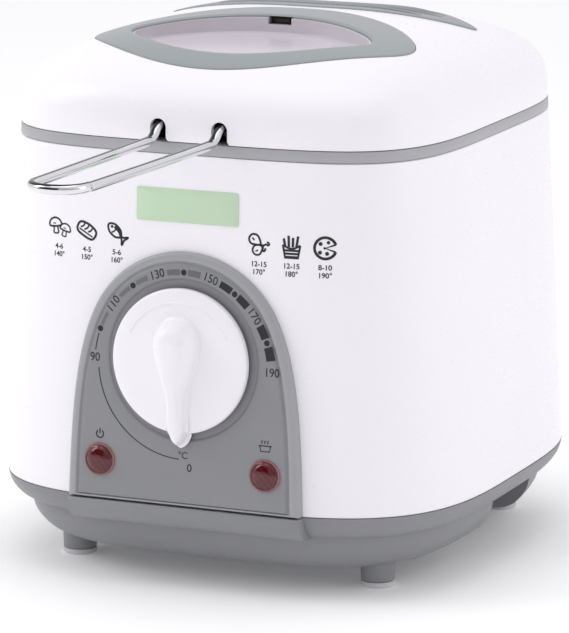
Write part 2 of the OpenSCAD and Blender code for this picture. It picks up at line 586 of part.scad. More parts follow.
outer_housing();
base_pan();
foot_pads();
base_screws();
rim_ring();
rim_screws();
oil_pot();
heat_spreader();
heating_element();
element_terminals();
thermal_fuse();
sensor_bulb();
heat_shield();
thermostat_body();
thermostat_screws();
control_panel();
blank_label();
power_lens();
heat_lens();
power_lamp();
heat_lamp();
lamp_sockets();
cord_gland();
terminal_block();
internal_wires();
earth_screw();
hinge_bracket();
bracket_screws();
hinge_pin();
knob();
thermostat_shaft();
knob_clip();
lid_shell();
window_frame();
lid_window();
window_gasket();
lid_liner();
lid_screws();
vent_cover();
filter_mesh();
filter_foam();
lid_hinge_arm();
arm_screws();
basket_mesh();
basket_rim();
basket_frame();
handle_bracket();
basket_handle();
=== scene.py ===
import json
from math import asin, cos, hypot, pi, radians, sin, sqrt, tau

import bmesh
import bpy
from mathutils import Matrix, Vector


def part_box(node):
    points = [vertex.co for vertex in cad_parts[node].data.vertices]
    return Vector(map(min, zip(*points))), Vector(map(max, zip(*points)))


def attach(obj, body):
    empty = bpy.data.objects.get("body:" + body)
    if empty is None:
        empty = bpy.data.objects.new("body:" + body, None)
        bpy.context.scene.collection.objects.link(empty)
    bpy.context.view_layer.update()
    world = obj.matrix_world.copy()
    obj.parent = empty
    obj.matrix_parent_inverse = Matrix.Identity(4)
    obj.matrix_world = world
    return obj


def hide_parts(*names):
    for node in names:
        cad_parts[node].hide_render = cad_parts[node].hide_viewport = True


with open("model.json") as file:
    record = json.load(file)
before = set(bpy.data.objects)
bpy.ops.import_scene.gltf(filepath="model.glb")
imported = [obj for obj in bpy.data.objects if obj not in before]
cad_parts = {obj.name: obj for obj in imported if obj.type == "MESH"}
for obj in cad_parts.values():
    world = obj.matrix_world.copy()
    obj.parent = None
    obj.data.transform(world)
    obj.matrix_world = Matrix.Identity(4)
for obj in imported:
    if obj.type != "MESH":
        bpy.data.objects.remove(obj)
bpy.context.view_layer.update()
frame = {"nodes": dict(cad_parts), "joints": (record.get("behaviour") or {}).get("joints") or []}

# ---- sizes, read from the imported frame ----
# Shapes are written in millimetres with y measured from the middle of the housing.

MM = 0.001
shell_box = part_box("outer_housing")
MID_Y = (shell_box[0][1] + shell_box[1][1]) / 2 / MM
JOINTS = {joint["name"]: joint for joint in frame["joints"]}


def local(point):
    return Vector((point[0] / MM, point[1] / MM - MID_Y, point[2] / MM))


def corners(node):
    low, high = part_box(node)
    return local(low), local(high)


def middle(node):
    low, high = corners(node)
    return (low + high) / 2


SHELL_LO, SHELL_HI = corners("outer_housing")
RIM_LO, RIM_HI = corners("rim_ring")
LID_LO, LID_HI = corners("lid_shell")
POT_LO, POT_HI = corners("oil_pot")
MESH_LO, MESH_HI = corners("basket_mesh")
KNOB_LO, KNOB_HI = corners("knob")
DIAL = local(JOINTS["knob_turn"]["pos_m"])
FOLD = local(JOINTS["handle_fold"]["pos_m"])
LEAN = asin(-JOINTS["knob_turn"]["axis"][2])
BASE_ABOVE_SKIRT = 5.1
SKIRT_Z = corners("base_pan")[1].z - BASE_ABOVE_SKIRT
SEAM_Z = RIM_HI.z
LID_A = LID_HI.x
LID_B = -LID_LO.y
FOOT_LO, FOOT_HI = corners("foot_pads")
FOOT_R = 7.2
FEET = [(x, y) for x in (FOOT_LO.x + FOOT_R, FOOT_HI.x - FOOT_R)
        for y in (FOOT_LO.y + FOOT_R, FOOT_HI.y - FOOT_R)]

N = 288                # points round every body outline
SKIRT_N = 3.63         # squareness of the plan at the skirt
BAND_N = 4.24          # and at the rim band
LID_N = 4.2
DOME_H = 39.6          # height of the dome, and the powers of its profile
DOME_P = 2.094
DOME_Q = 3.365
LID_WALL = 2.4
LID_POSTS = ((-74, -5), (74, -5), (-52, 80), (52, 80))
PANEL_R = 44.5         # round top of the panel, and half its width at the foot
PANEL_FOOT = 51.5


# ---- outlines and surfaces ----

def mix(u, v, s):
    return u + (v - u) * s


def smoothstep(s):
    s = min(1.0, max(0.0, s))
    return s * s * (3 - 2 * s)


def arc(cx, cy, r, start, end, count=24):
    turns = [radians(mix(start, end, k / count)) for k in range(count + 1)]
    return [(cx + r * cos(t), cy + r * sin(t)) for t in turns]


def plan(a, b, n, count=N):
    points = []
    for i in range(count):
        t = tau * i / count
        r = ((abs(cos(t)) / a) ** n + (abs(sin(t)) / b) ** n) ** (-1 / n)
        points.append((r * cos(t), r * sin(t)))
    return points


def lid_plan(inset):
    return plan(LID_A - inset, LID_B - inset, LID_N)


def blend(first, second, s):
    """Flat outline part of the way from one outline to another."""
    return [(mix(p[0], q[0], s), mix(p[1], q[1], s)) for p, q in zip(first, second)]


def level(points, z):
    return [(p[0], p[1], z) for p in points]


def body_size(z):
    k = (z - SKIRT_Z - 0.5) / (RIM_LO.z - SKIRT_Z - 0.5)
    return mix(SHELL_HI.x, RIM_HI.x, k), mix(SHELL_HI.y, RIM_HI.y, k), mix(SKIRT_N, BAND_N, k)


def body_ring(z, inset):
    a, b, n = body_size(z)
    return level(plan(a - inset, b - inset, n), z)


def base_ring(z, inset):
    a, b, n = body_size(SKIRT_Z)
    return level(plan(a - inset, b - inset, n), z)


def dome_z(x, y, drop):
    r = ((abs(x) / (LID_A - drop)) ** LID_N + (abs(y) / (LID_B - drop)) ** LID_N) ** (1 / LID_N)
    return SEAM_Z + max(0.3, (DOME_H - drop) * max(0.0, 1 - r ** DOME_P) ** (1 / DOME_Q))


def on_dome(points, up=0.0, drop=0.0):
    return [(p[0], p[1], dome_z(p[0], p[1], drop) + up) for p in points]


def arc_reach(t, c, mid, apex):
    h = abs(apex - mid)
    r = (c * c + h * h) / (2 * h)
    d = (-1 if apex < mid else 1) * (r - h)
    s = sin(t)
    return -s * d + sqrt(s * s * d * d - d * d + r * r)


def leaf(c, mid, front, rear, count=N):
    points = []
    for i in range(count):
        t = tau * i / count
        r = (arc_reach(t, c, mid, front) ** -12 + arc_reach(t, c, mid, rear) ** -12) ** (-1 / 12)
        points.append((r * cos(t), mid + r * sin(t)))
    return points


def frame_leaf(d):
    return leaf(74 + d, -38, -86 - d, 14 + d)


def glass_leaf(d):
    return leaf(56 + d, -40, -71.5 - d, -9 + d)


def vent_leaf(d):
    return leaf(74 + d, 35, 24 - d, 62 + d)


def on_glass(points, up):
    return [(p[0], p[1], 212.6 + (p[1] + 71.5) * 0.078 + up) for p in points]


def lid_ring(s, drop):
    return on_dome(blend(lid_plan(drop), frame_leaf(0.25), s), drop=drop)


def dome_s(w):
    return 1 - (1 - w ** DOME_Q) ** (1 / DOME_P)


def about(points, mid, s):
    return [(p[0] * s, mid + (p[1] - mid) * s) for p in points]


def on_panel(u, v, w):
    """Point on the leaning front: u across, v up from the dial's centre, w out of the surface."""
    c, s = cos(LEAN), sin(LEAN)
    return (u, DIAL.y + v * s - w * c, DIAL.z + v * c + w * s)


def on_front(x, z, up):
    a, b, n = body_size(z)
    return (x, -(b + up) * (1 - (abs(x) / (a + up)) ** n) ** (1 / n), z)


def smooth(points, per=6, closed=False):
    """Catmull-Rom curve through the points."""
    pts = [Vector(p) for p in points]
    count = len(pts)
    out = []
    for i in range(count if closed else count - 1):
        near = [(i + k) % count if closed else min(max(i + k, 0), count - 1) for k in (-1, 0, 1, 2)]
        a, b, c, d = (pts[k] for k in near)
        for k in range(per):
            t = k / per
            out.append(0.5 * (2 * b + (c - a) * t + (2 * a - 5 * b + 4 * c - d) * t * t
                              + (3 * b - a - 3 * c + d) * t ** 3))
    if not closed:
        out.append(pts[-1])
    return out


def open_curve(points, per=5):
    return [(p.x, p.y) for p in smooth([(x, y, 0) for x, y in points], per)]


def closed_curve(points, per=5):
    loop = smooth([(x, y, 0) for x, y in points], per, closed=True)
    return [(p.x, p.y) for p in loop] + [(loop[0].x, loop[0].y)]


# ---- mesh parts: each is (vertices, faces) ----

def loft(rings, wrap=False):
    n = len(rings[0])
    verts = [tuple(p) for ring in rings for p in ring]
    faces = []
    rows = len(rings)
    for j in range(rows if wrap else rows - 1):
        k = (j + 1) % rows
        for i in range(n):
            i2 = (i + 1) % n
            faces.append((j * n + i, j * n + i2, k * n + i2, k * n + i))
    if not wrap:
        for j, order in ((0, 1), (rows - 1, -1)):
            centre = sum((Vector(p) for p in rings[j]), Vector()) / n
            verts.append(tuple(centre))
            tip = len(verts) - 1
            for i in range(n):
                a, b = j * n + i, j * n + (i + 1) % n
                faces.append((tip, b, a) if order == 1 else (tip, a, b))
    return verts, faces


def lathe(profile, put, sides=96):
    """Profile of (radius, height) turned about an axis; put(u, v, w) places a point."""
    turns = [tau * i / sides for i in range(sides)]
    return loft([[put(max(r, 0.01) * cos(t), max(r, 0.01) * sin(t), w) for t in turns] for r, w in profile])


def torus(major, minor, put, sides=144, round_sides=14):
    rings = []
    for i in range(sides):
        t = tau * i / sides
        ring = []
        for k in range(round_sides):
            q = tau * k / round_sides
            r = major + minor * cos(q)
            ring.append(put(r * cos(t), r * sin(t), minor * sin(q)))
        rings.append(ring)
    return loft(rings, wrap=True)


def upright(x, y, z=0):
    return lambda u, v, w: (x + u, y + v, z + w)


def along_x(x, y, z):
    return lambda u, v, w: (x + w, y + u, z + v)


def along_y(x, y, z):
    return lambda u, v, w: (x + u, y + w, z - v)


def tube(points, radius, sides=16, closed=False):
    pts = [Vector(p) for p in points]
    count = len(pts)
    rings = []
    side = None
    for i in range(count):
        if closed:
            along = pts[(i + 1) % count] - pts[i - 1]
        else:
            along = pts[min(i + 1, count - 1)] - pts[max(i - 1, 0)]
        along.normalize()
        if side is None:
            side = along.orthogonal()
            if abs(along.z) < 0.9:
                side = along.cross(Vector((0, 0, 1)))
        side = (side - along * side.dot(along)).normalized()
        up = along.cross(side)
        ring = []
        for k in range(sides):
            t = tau * k / sides
            ring.append(pts[i] + (side * cos(t) + up * sin(t)) * radius)
        rings.append(ring)
    return loft(rings, wrap=closed)


def prism(outline, put, w0, w1):
    """Flat outline of (u, v) points given a thickness from w0 to w1."""
    n = len(outline)
    verts = [put(u, v, w0) for u, v in outline] + [put(u, v, w1) for u, v in outline]
    faces = [tuple(range(n))[::-1], tuple(range(n, 2 * n))]
    for i in range(n):
        i2 = (i + 1) % n
        faces.append((i, i2, n + i2, n + i))
    return verts, faces


def block(low, high):
    outline = [(low[0], low[1]), (high[0], low[1]), (high[0], high[1]), (low[0], high[1])]
    return prism(outline, lambda u, v, w: (u, v, w), low[2], high[2])


def rounded(x0, y0, x1, y1, r, per=6):
    points = []
    middles = ((x1 - r, y1 - r), (x0 + r, y1 - r), (x0 + r, y0 + r), (x1 - r, y0 + r))
    for (cx, cy), start in zip(middles, (0, 90, 180, 270)):
        points += arc(cx, cy, r, start, start + 90, per)
    return points


def soft_block(low, high, r, edge=0.6):
    """Upright block with rounded vertical edges and eased top and bottom edges."""
    rings = []
    for z, inset in ((low[2], edge), (low[2] + edge * 0.3, edge * 0.3), (low[2] + edge, 0),
                     (high[2] - edge, 0), (high[2] - edge * 0.3, edge * 0.3), (high[2], edge)):
        rings.append(level(rounded(low[0] + inset, low[1] + inset, high[0] - inset, high[1] - inset,
                                   max(0.2, r - inset)), z))
    return loft(rings)


def outward(part):
    """The part with its faces turned so that it encloses a positive volume."""
    verts, faces = part
    volume = 0.0
    for face in faces:
        a = Vector(verts[face[0]])
        for k in range(1, len(face) - 1):
            volume += a.dot(Vector(verts[face[k]]).cross(Vector(verts[face[k + 1]])))
    return part if volume > 0 else (verts, [face[::-1] for face in faces])


def joined(parts):
    verts, faces = [], []
    for part_verts, part_faces in map(outward, parts):
        base = len(verts)
        verts += part_verts
        faces += [tuple(base + i for i in face) for face in part_faces]
    return verts, faces


def mirrored(part):
    verts, faces = part
    return [(-v[0], v[1], v[2]) for v in verts], [face[::-1] for face in faces]


def add_object(name, data):
    obj = bpy.data.objects.new(name, data)
    bpy.context.scene.collection.objects.link(obj)
    bpy.context.view_layer.update()
    return obj


def mesh_object(name, part):
    mesh = bpy.data.meshes.new(name)
    mesh.from_pydata(part[0], [], part[1])
    return add_object(name, mesh)


def weld_points(obj, distance):
    work = bmesh.new()
    work.from_mesh(obj.data)
    bmesh.ops.remove_doubles(work, verts=work.verts, dist=distance)
    work.to_mesh(obj.data)
    work.free()


def combine(obj, part, operation):
    other = mesh_object("cutter", part)
    step = obj.modifiers.new("carve", "BOOLEAN")
    step.operation = operation
    step.solver = "MANIFOLD"
    step.object = other
    bpy.context.view_layer.update()
    seen = obj.evaluated_get(bpy.context.evaluated_depsgraph_get())
    result = bpy.data.meshes.new_from_object(seen)
    obj.modifiers.clear()
    spent = (obj.data, other.data)
    obj.data = result
    bpy.data.objects.remove(other)
    for mesh in spent:
        bpy.data.meshes.remove(mesh)


def piece(name, parts, body, slot, node=None, material=None, angle=35, add=(), cut=(), weld=0.0):
    """Joins the parts into one named piece on a body, in place of a CAD node where one is given."""
    obj = mesh_object(name, joined(parts))
    if weld:
        weld_points(obj, weld)
    if add:
        combine(obj, joined(add), "UNION")
    if cut:
        combine(obj, joined(cut), "DIFFERENCE")
    obj.data.name = name
    obj.data.transform(Matrix.Translation((0, MID_Y * MM, 0)) @ Matrix.Scale(MM, 4))
    obj.data.materials.clear()
    obj.data.materials.append(MATERIALS[material or slot])
    obj.data.polygons.foreach_set("use_smooth", [True] * len(obj.data.polygons))
    obj.data.set_sharp_from_angle(angle=radians(angle))
    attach(obj, body)
    if node:
        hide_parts(node)
    return obj


# ---- materials ----

MATERIALS = {}


def tint(r, g, b):
    """Linear colour from 0-255 screen values."""
    out = []
    for value in (r, g, b):
        value /= 255
        out.append(value / 12.92 if value <= 0.04045 else ((value + 0.055) / 1.055) ** 2.4)
    return (*out, 1.0)


def set_inputs(node, values):
    """Values for a shader node's inputs; a name has _ for each space."""
    for name, value in values.items():
        node.inputs[name.replace("_", " ")].default_value = value


def add_node(tree, kind, **values):
    node = tree.nodes.new("ShaderNode" + kind)
    set_inputs(node, values)
    return node


def facing(tree, coordinate, toward, **limits):
    """Value that changes smoothly with how far a coordinate points one way."""
    where = add_node(tree, "TexCoord")
    angle = add_node(tree, "VectorMath")
    angle.operation = "DOT_PRODUCT"
    angle.inputs[1].default_value = Vector(toward).normalized()
    tree.links.new(where.outputs[coordinate], angle.inputs[0])
    ramp = add_node(tree, "MapRange", **limits)
    ramp.interpolation_type = "SMOOTHSTEP"
    tree.links.new(angle.outputs["Value"], ramp.inputs["Value"])
    return ramp.outputs["Result"]


def surface(name, colour, rough, metal=0.0, vary=0.05, patch=25.0, grain=1200.0, bump=0.2, depth=0.00005,
            stretch=(1, 1, 1), ribs=False, **sockets):
    """Material with blotches or ribs in its colour, uneven gloss and a fine relief."""
    mat = bpy.data.materials.new(name)
    mat.use_nodes = True
    tree = mat.node_tree
    link = tree.links.new
    shader = tree.nodes["Principled BSDF"]
    set_inputs(shader, {"Metallic": metal, **sockets})
    where = add_node(tree, "TexCoord")
    scale = add_node(tree, "Mapping", Scale=stretch)
    link(where.outputs["Object"], scale.inputs["Vector"])
    if ribs:
        pattern = add_node(tree, "TexWave", Scale=210.0, Distortion=0.6)
        pattern.bands_direction = "DIAGONAL"
    else:
        pattern = add_node(tree, "TexNoise", Scale=patch, Detail=4.0)
    fine = add_node(tree, "TexNoise", Scale=grain, Detail=3.0)
    for texture in (pattern, fine):
        link(scale.outputs["Vector"], texture.inputs["Vector"])
    ramp = add_node(tree, "ValToRGB")
    for stop, place, factor in zip(ramp.color_ramp.elements, (0.25, 0.75), (1 - vary, 1 + vary)):
        stop.position = place
        stop.color = (*[min(1.0, c * factor) for c in tint(*colour)[:3]], 1)
    link(pattern.outputs["Fac"], ramp.inputs["Fac"])
    link(ramp.outputs["Color"], shader.inputs["Base Color"])
    spread = add_node(tree, "MapRange", From_Min=0.3, From_Max=0.7, To_Min=rough * 0.88,
                      To_Max=min(1.0, rough * 1.14))
    link(fine.outputs["Fac"], spread.inputs["Value"])
    link(spread.outputs["Result"], shader.inputs["Roughness"])
    relief = add_node(tree, "Bump", Strength=bump, Distance=depth)
    link(fine.outputs["Fac"], relief.inputs["Height"])
    link(relief.outputs["Normal"], shader.inputs["Normal"])
    MATERIALS[name] = mat
    return mat


def paint_reflection_by_normal(mat, toward, dark, start, end):
    """Painted reflection: darkens a mirror's colour where its surface faces one way, standing in for the dark
    stripe that polished wire mirrors under a softbox.
    """
    tree = mat.node_tree
    shader = tree.nodes["Principled BSDF"]
    mixer = add_node(tree, "Mix")
    mixer.data_type = "RGBA"
    colours = [socket for socket in mixer.inputs if socket.type == "RGBA"]
    colours[1].default_value = dark
    tree.links.new(facing(tree, "Normal", toward, From_Min=start, From_Max=end), mixer.inputs[0])
    tree.links.new(shader.inputs["Base Color"].links[0].from_socket, colours[0])
    result = [socket for socket in mixer.outputs if socket.type == "RGBA"][0]
    tree.links.new(result, shader.inputs["Base Color"])


# Painted and moulded parts
surface("white_shell", (247, 245, 250), 0.30, vary=0.008, bump=0.05, IOR=1.46)
surface("knob_white", (246, 244, 249), 0.20, vary=0.006, bump=0.04, IOR=1.46)
surface("grey_plastic", (136, 137, 141), 0.42, vary=0.03, bump=0.25)
surface("band_grey", (170, 171, 174), 0.38, vary=0.02, bump=0.15)
surface("panel_grey", (138, 139, 143), 0.40, vary=0.03, bump=0.30)
# Lighter copy of the panel grey for its rounded outer band: a painted highlight where the fillet catches the
# light.
surface("panel_edge_painted_highlight", (160, 161, 164), 0.34, vary=0.02)
surface("bezel_grey", (147, 154, 156), 0.36, vary=0.02, bump=0.15)
surface("vent_grey", (150, 156, 159), 0.42, vary=0.03, bump=0.25)
surface("slot_dark", (46, 43, 42), 0.60, vary=0.10, bump=0.3)
surface("phenolic", (84, 66, 54), 0.50, vary=0.10, bump=0.3)
surface("nylon", (226, 221, 203), 0.45, vary=0.03)
surface("foot_rubber", (205, 205, 206), 0.70, vary=0.04, bump=0.5)
surface("black_rubber", (38, 38, 40), 0.62, vary=0.15, bump=0.4)
surface("silicone", (150, 150, 154), 0.60, vary=0.04, bump=0.3)
surface("wire_insulation", (66, 92, 150), 0.50, vary=0.08, bump=0.3)
surface("ceramic", (228, 222, 206), 0.55, vary=0.04, bump=0.3)
surface("pot_coating", (84, 84, 88), 0.45, vary=0.10, patch=60, bump=0.5)
surface("filter_black", (34, 34, 34), 0.95, vary=0.35, patch=700, bump=1.0, depth=0.0004)
# Prints
surface("label_green", (196, 220, 190), 0.45, vary=0.02)
surface("ink_dark", (34, 33, 38), 0.55, vary=0.10)
surface("ink_light", (112, 113, 115), 0.50)
surface("ink_mid", (104, 105, 108), 0.50)
# Clear parts
surface("red_lens", (84, 12, 22), 0.12, vary=0.25, bump=0.06, ribs=True, Coat_Weight=0.35, IOR=1.49)
# Lighter pink for the lens rim: a painted highlight, the halo of light round the rim.
surface("lens_rim_painted_highlight", (150, 96, 100), 0.20, bump=0.1, Coat_Weight=0.5)
surface("lamp_glass", (240, 190, 140), 0.12, vary=0.03, bump=0.05, Transmission_Weight=0.6)
surface("window_clear", (226, 219, 228), 0.20, vary=0.015, bump=0.05, Transmission_Weight=0.22, IOR=1.49)
# Metals
surface("screw_steel", (190, 191, 194), 0.32, 1.0, vary=0.08)
surface("cast_aluminium", (196, 197, 199), 0.50, 1.0, vary=0.08, bump=0.6)
surface("sheet_aluminium", (222, 223, 225), 0.30, 1.0, vary=0.04, stretch=(1, 14, 1))
surface("element_sheath", (112, 106, 102), 0.48, 1.0, vary=0.14, bump=0.4)
surface("brass", (214, 180, 112), 0.30, 1.0, vary=0.06)
surface("copper", (206, 136, 104), 0.34, 1.0, vary=0.08)
surface("filter_steel", (180, 180, 182), 0.35, 1.0, vary=0.10, bump=0.3)
surface("mesh_steel", (200, 200, 203), 0.26, 1.0, vary=0.06, bump=0.15)
surface("chrome", (224, 224, 227), 0.09, 1.0, vary=0.02, bump=0.03)
# Handle chrome with a painted reflection: its colour is darkened where the wire faces up and a little left and
# forward, standing in for a mirrored dark card.
surface("chrome_wire_painted_reflection", (226, 226, 228), 0.08, 1.0, vary=0.02, bump=0.03)
paint_reflection_by_normal(MATERIALS["chrome_wire_painted_reflection"], (-0.22, -0.1, 0.97), tint(40, 50, 45), 0.72, 0.80)


# ---- housing ----

def wall_piece(name, rows, material, node):
    """Closed wall round the body from rows of height and inset."""
    piece(name, [loft([body_ring(z, inset) for z, inset in rows], wrap=True)], "housing", material, node)


top = SHELL_HI.z
rows = [(SKIRT_Z + 0.1, 0.9), (SKIRT_Z + 0.25, 0.35), (SKIRT_Z + 0.6, 0.08), (SKIRT_Z + 1.3, 0)]
rows += [(z, 0) for z in range(44, 179, 8)]
rows += [(top - 1.0, 0), (top - 0.3, 0.08), (top, 0.35), (top + 0.1, 0.9), (top + 0.1, 10), (177.8, 10),
         (177.4, 2.6)]
rows += [(z, 2.6) for z in (150, 120, 90, 60, SKIRT_Z + 0.1)]
wall_piece("housing_shell", rows, "white_shell", "outer_housing")

rows = [(180.25, 0.5), (180.35, 0.15), (180.6, 0), (182.5, 0), (184.5, 0), (184.75, 0.15), (184.85, 0.6),
        (184.9, 9.6), (181.5, 10), (181.5, 3.9), (180.3, 3.9)]
wall_piece("rim_band", rows, "band_grey", "rim_ring")

# The base: a stepped, rounded skirt with a proud pad in front and a hand recess in each side
outer = open_curve([(9.5, 24), (10.4, 19), (13.5, 14.2), (18.5, 10.4), (22.5, 9.0), (25.4, 8.6)], 4)
outer += open_curve([(25.6, 7.6), (28, 4), (31.5, 1.3), (34.4, 0.25), (SKIRT_Z, 0)], 4)
inner = [(SKIRT_Z, 3.0), (41, 3.1), (41, 5), (32, 6), (26, 12), (18, 14), (14, 18.5), (12, 25)]
skirt = loft([base_ring(z, inset) for z, inset in outer + inner])


def front_pad():
    """Pad under the panel: its profile drawn across the front, with eased ends."""
    side = PANEL_FOOT + 0.2
    profile = [(-98, 35.9), (-110.9, 35.9), (-111.5, 35.3), (-111.3, 33.4), (-110.7, 31), (-109.4, 29),
               (-107.6, 27.3), (-105.2, 26.1), (-103, 25.5), (-98, 25.5)]
    rings = []
    for x, inset in ((-side, 0.8), (-side + 0.25, 0.25), (-side + 0.8, 0), (0, 0), (side - 0.8, 0),
                     (side - 0.25, 0.25), (side, 0.8)):
        ring = []
        for y, z in profile:
            ring.append((x, y + (inset if y < -100 else 0), z - (inset * 0.5 if z > 35 and y < -100 else 0)))
        rings.append(ring)
    return loft(rings)


def recess_wall():
    outline = [(68, 9.6), (81, 9.6), (88, 13.5), (93, 19), (95, 25), (95, 27.5), (68, 27.5)]
    return prism(outline, lambda u, v, w: (u, w, v), -10, 40)


def recess_cut():
    return prism(rounded(70, -8, 130, 38, 3.2), upright(0, 0), -1, 25.5)


def feet_parts(profile, sides):
    return [lathe(profile, upright(x, y), sides) for x, y in FEET]


bosses = feet_parts([(0.01, 2.4), (6.6, 2.4), (7.0, 2.8), (7.25, 13), (0.01, 13)], 48)
bores = feet_parts([(0.01, -1), (3.4, -1), (3.4, 6.2), (1.7, 6.2), (1.7, 19), (0.01, 19)], 32)
piece("base_tub", [skirt], "housing", "grey_plastic", "base_pan",
      add=[front_pad(), recess_wall(), mirrored(recess_wall())] + bosses,
      cut=[recess_cut(), mirrored(recess_cut())] + bores)

pads = feet_parts([(0.01, 0), (6.5, 0), (7.0, 0.3), (7.15, 0.8), (7.15, 1.7), (6.9, 2.2), (6.4, 2.3),
                   (3.2, 2.3), (3.2, 3.1), (0.01, 3.1)], 64)
piece("foot_pads_soft", pads, "housing", "foot_rubber", "foot_pads")


def repaint(obj, material, first_row, last_row, n):
    """Gives the rows of a lofted piece from first_row to last_row another material."""
    obj.data.materials.append(MATERIALS[material])
    for polygon in obj.data.polygons:
        if first_row * n <= polygon.index < last_row * n:
            polygon.material_index = 1


# ---- control panel ----

def arch(d, top=96, side=34, foot=44):
    """Arch outline moved in by d: a round top and sides that curve out to the foot."""
    r = PANEL_R - d
    t0 = radians(30)
    join = (r * cos(t0), r * sin(t0) - 0.5)
    corner = (PANEL_FOOT - d, -60.6 + 0.3 * d)
    low_pull = (corner[0] - 0.9, corner[1] + 30)
    high_pull = (join[0] + 22 * sin(t0), join[1] - 22 * cos(t0))
    right = []
    for k in range(side):
        t = k / side
        parts = ((1 - t) ** 3, 3 * t * (1 - t) ** 2, 3 * t * t * (1 - t), t ** 3)
        knots = (corner, low_pull, high_pull, join)
        right.append(tuple(sum(f * q[axis] for f, q in zip(parts, knots)) for axis in (0, 1)))
    over = arc(0, -0.5, r, 30, 150, top)
    left = [(-x, y) for x, y in reversed(right)]
    below = [(mix(-corner[0], corner[0], k / foot), corner[1]) for k in range(1, foot)]
    return right + over + left + below


def circle_like(points, r):
    return [(r * p[0] / hypot(*p), r * p[1] / hypot(*p)) for p in points]


def panel_ring(points, w):
    return [on_panel(u, v, w) for u, v in points]


inner_edge = arch(6.2)
rings = [panel_ring(arch(0), -3.4)]
for d, w in ((0, 1.2), (0.25, 1.9), (0.8, 2.45), (1.6, 2.75), (2.8, 2.85), (3.6, 2.75), (4.0, 2.45),
             (4.5, 2.3), (5.0, 2.5), (5.4, 2.9), (5.8, 3.0), (6.2, 3.0)):
    rings.append(panel_ring(arch(d), w))
circle = circle_like(inner_edge, 34.2)
rings += [panel_ring(blend(inner_edge, circle, s), 3.0) for s in (0.25, 0.5, 0.75, 1.0)]
for r, w in ((33.6, 2.95), (33.1, 2.7), (32.8, 2.35), (32.2, 2.2), (24, 2.2), (12, 2.2), (5, 2.2), (5, -3.4)):
    rings.append(panel_ring(circle_like(inner_edge, r), w))
panel = piece("panel_face", [loft(rings, wrap=True)], "housing", "panel_grey", "control_panel")
# The first six rows, the rounded outer band, get the lighter grey: a painted highlight.
repaint(panel, "panel_edge_painted_highlight", 0, 6, len(inner_edge))

# Plain label, left blank
low, high = corners("blank_label")
label_v = ((low.z + high.z) / 2 - DIAL.z) / cos(LEAN)
outline = rounded(low.x, label_v - 6.8, high.x, label_v + 6.8, 0.9)
rings = [[on_panel(u, v, w) for u, v in outline] for w in (0.02, 0.36)]
for s in (0.996, 0.6, 0.2):
    rings.append([on_panel(u * s, label_v + (v - label_v) * (s - 0.01), 0.42) for u, v in outline])
piece("blank_label_plate", [loft(rings)], "housing", "label_green", "blank_label")


# ---- indicator lenses ----

def lens_put(side):
    centre = middle("power_lens" if side < 0 else "heat_lens")
    v0 = (centre.z - DIAL.z) / cos(LEAN)
    return lambda u, v, w: on_panel(centre.x + u, v0 + v, w)


lens_profile = [(0.01, -5.8), (5.6, -5.8), (6.0, -5.6), (6.05, 3.0), (6.75, 3.02), (6.85, 3.2), (6.8, 3.5),
                (6.6, 3.75), (6.3, 3.8), (6.05, 3.65), (5.7, 3.8), (5.2, 4.4), (4.5, 4.95), (3.6, 5.35),
                (2.6, 5.62), (1.4, 5.77), (0.01, 5.8)]
for side, node in ((-1, "power_lens"), (1, "heat_lens")):
    dome = piece(node + "_dome", [lathe(lens_profile, lens_put(side), 72)], "housing", "red_lens", node)
    # The rim rows of each lens get the lighter pink: a painted highlight.
    repaint(dome, "lens_rim_painted_highlight", 3, 9, 72)


# ---- dial print ----

def glyphs(text, height, put, turn=0.0, bold=0.004):
    """Built-in font turned into thin raised ink."""
    curve = bpy.data.curves.new("print", "FONT")
    curve.body = text
    curve.size = height / 0.70
    curve.align_x = "CENTER"
    curve.align_y = "CENTER"
    curve.offset = height * bold
    curve.extrude = 0.03
    holder = add_object("print", curve)
    mesh = holder.to_mesh()
    c, s = cos(turn), sin(turn)
    verts = [put(v.co.x * c - v.co.y * s, v.co.x * s + v.co.y * c, v.co.z) for v in mesh.vertices]
    faces = [tuple(face.vertices) for face in mesh.polygons]
    holder.to_mesh_clear()
    bpy.data.objects.remove(holder)
    bpy.data.curves.remove(curve)
    return verts, faces


def stroke(points, width, put, lift=0.06):
    """Ink line of that width (or one width per point) with square ends."""
    pts = [Vector(p) for p in points]
    count = len(pts)
    widths = width if isinstance(width, list) else [width] * count
    left, right = [], []
    for i in range(count):
        along = (pts[min(i + 1, count - 1)] - pts[max(i - 1, 0)]).normalized()
        side = Vector((-along.y, along.x)) * widths[i] / 2
        left.append(pts[i] + side)
        right.append(pts[i] - side)
    verts, faces = [], []
    for w in (0.0, lift):
        verts += [put(p.x, p.y, w) for p in left] + [put(p.x, p.y, w) for p in right]
    for i in range(count - 1):
        a, b, c, d = i, i + 1, count + i + 1, count + i
        faces += [(d, c, b, a), (2 * count + a, 2 * count + b, 2 * count + c, 2 * count + d)]
        faces += [(a, b, 2 * count + b, 2 * count + a), (c, d, 2 * count + d, 2 * count + c)]
    faces += [(0, 2 * count, 3 * count, count), (count - 1, 2 * count - 1, 4 * count - 1, 3 * count - 1)]
    return verts, faces


PRINT_R = 39.3
PRINT_V = -3.4


def on_print(u, v, w):
    return on_panel(u, v, 3.02 + w)


def clock(angle, r):
    """Point at that angle clockwise from twelve on the dial print."""
    t = radians(angle)
    return r * sin(t), PRINT_V + r * cos(t)


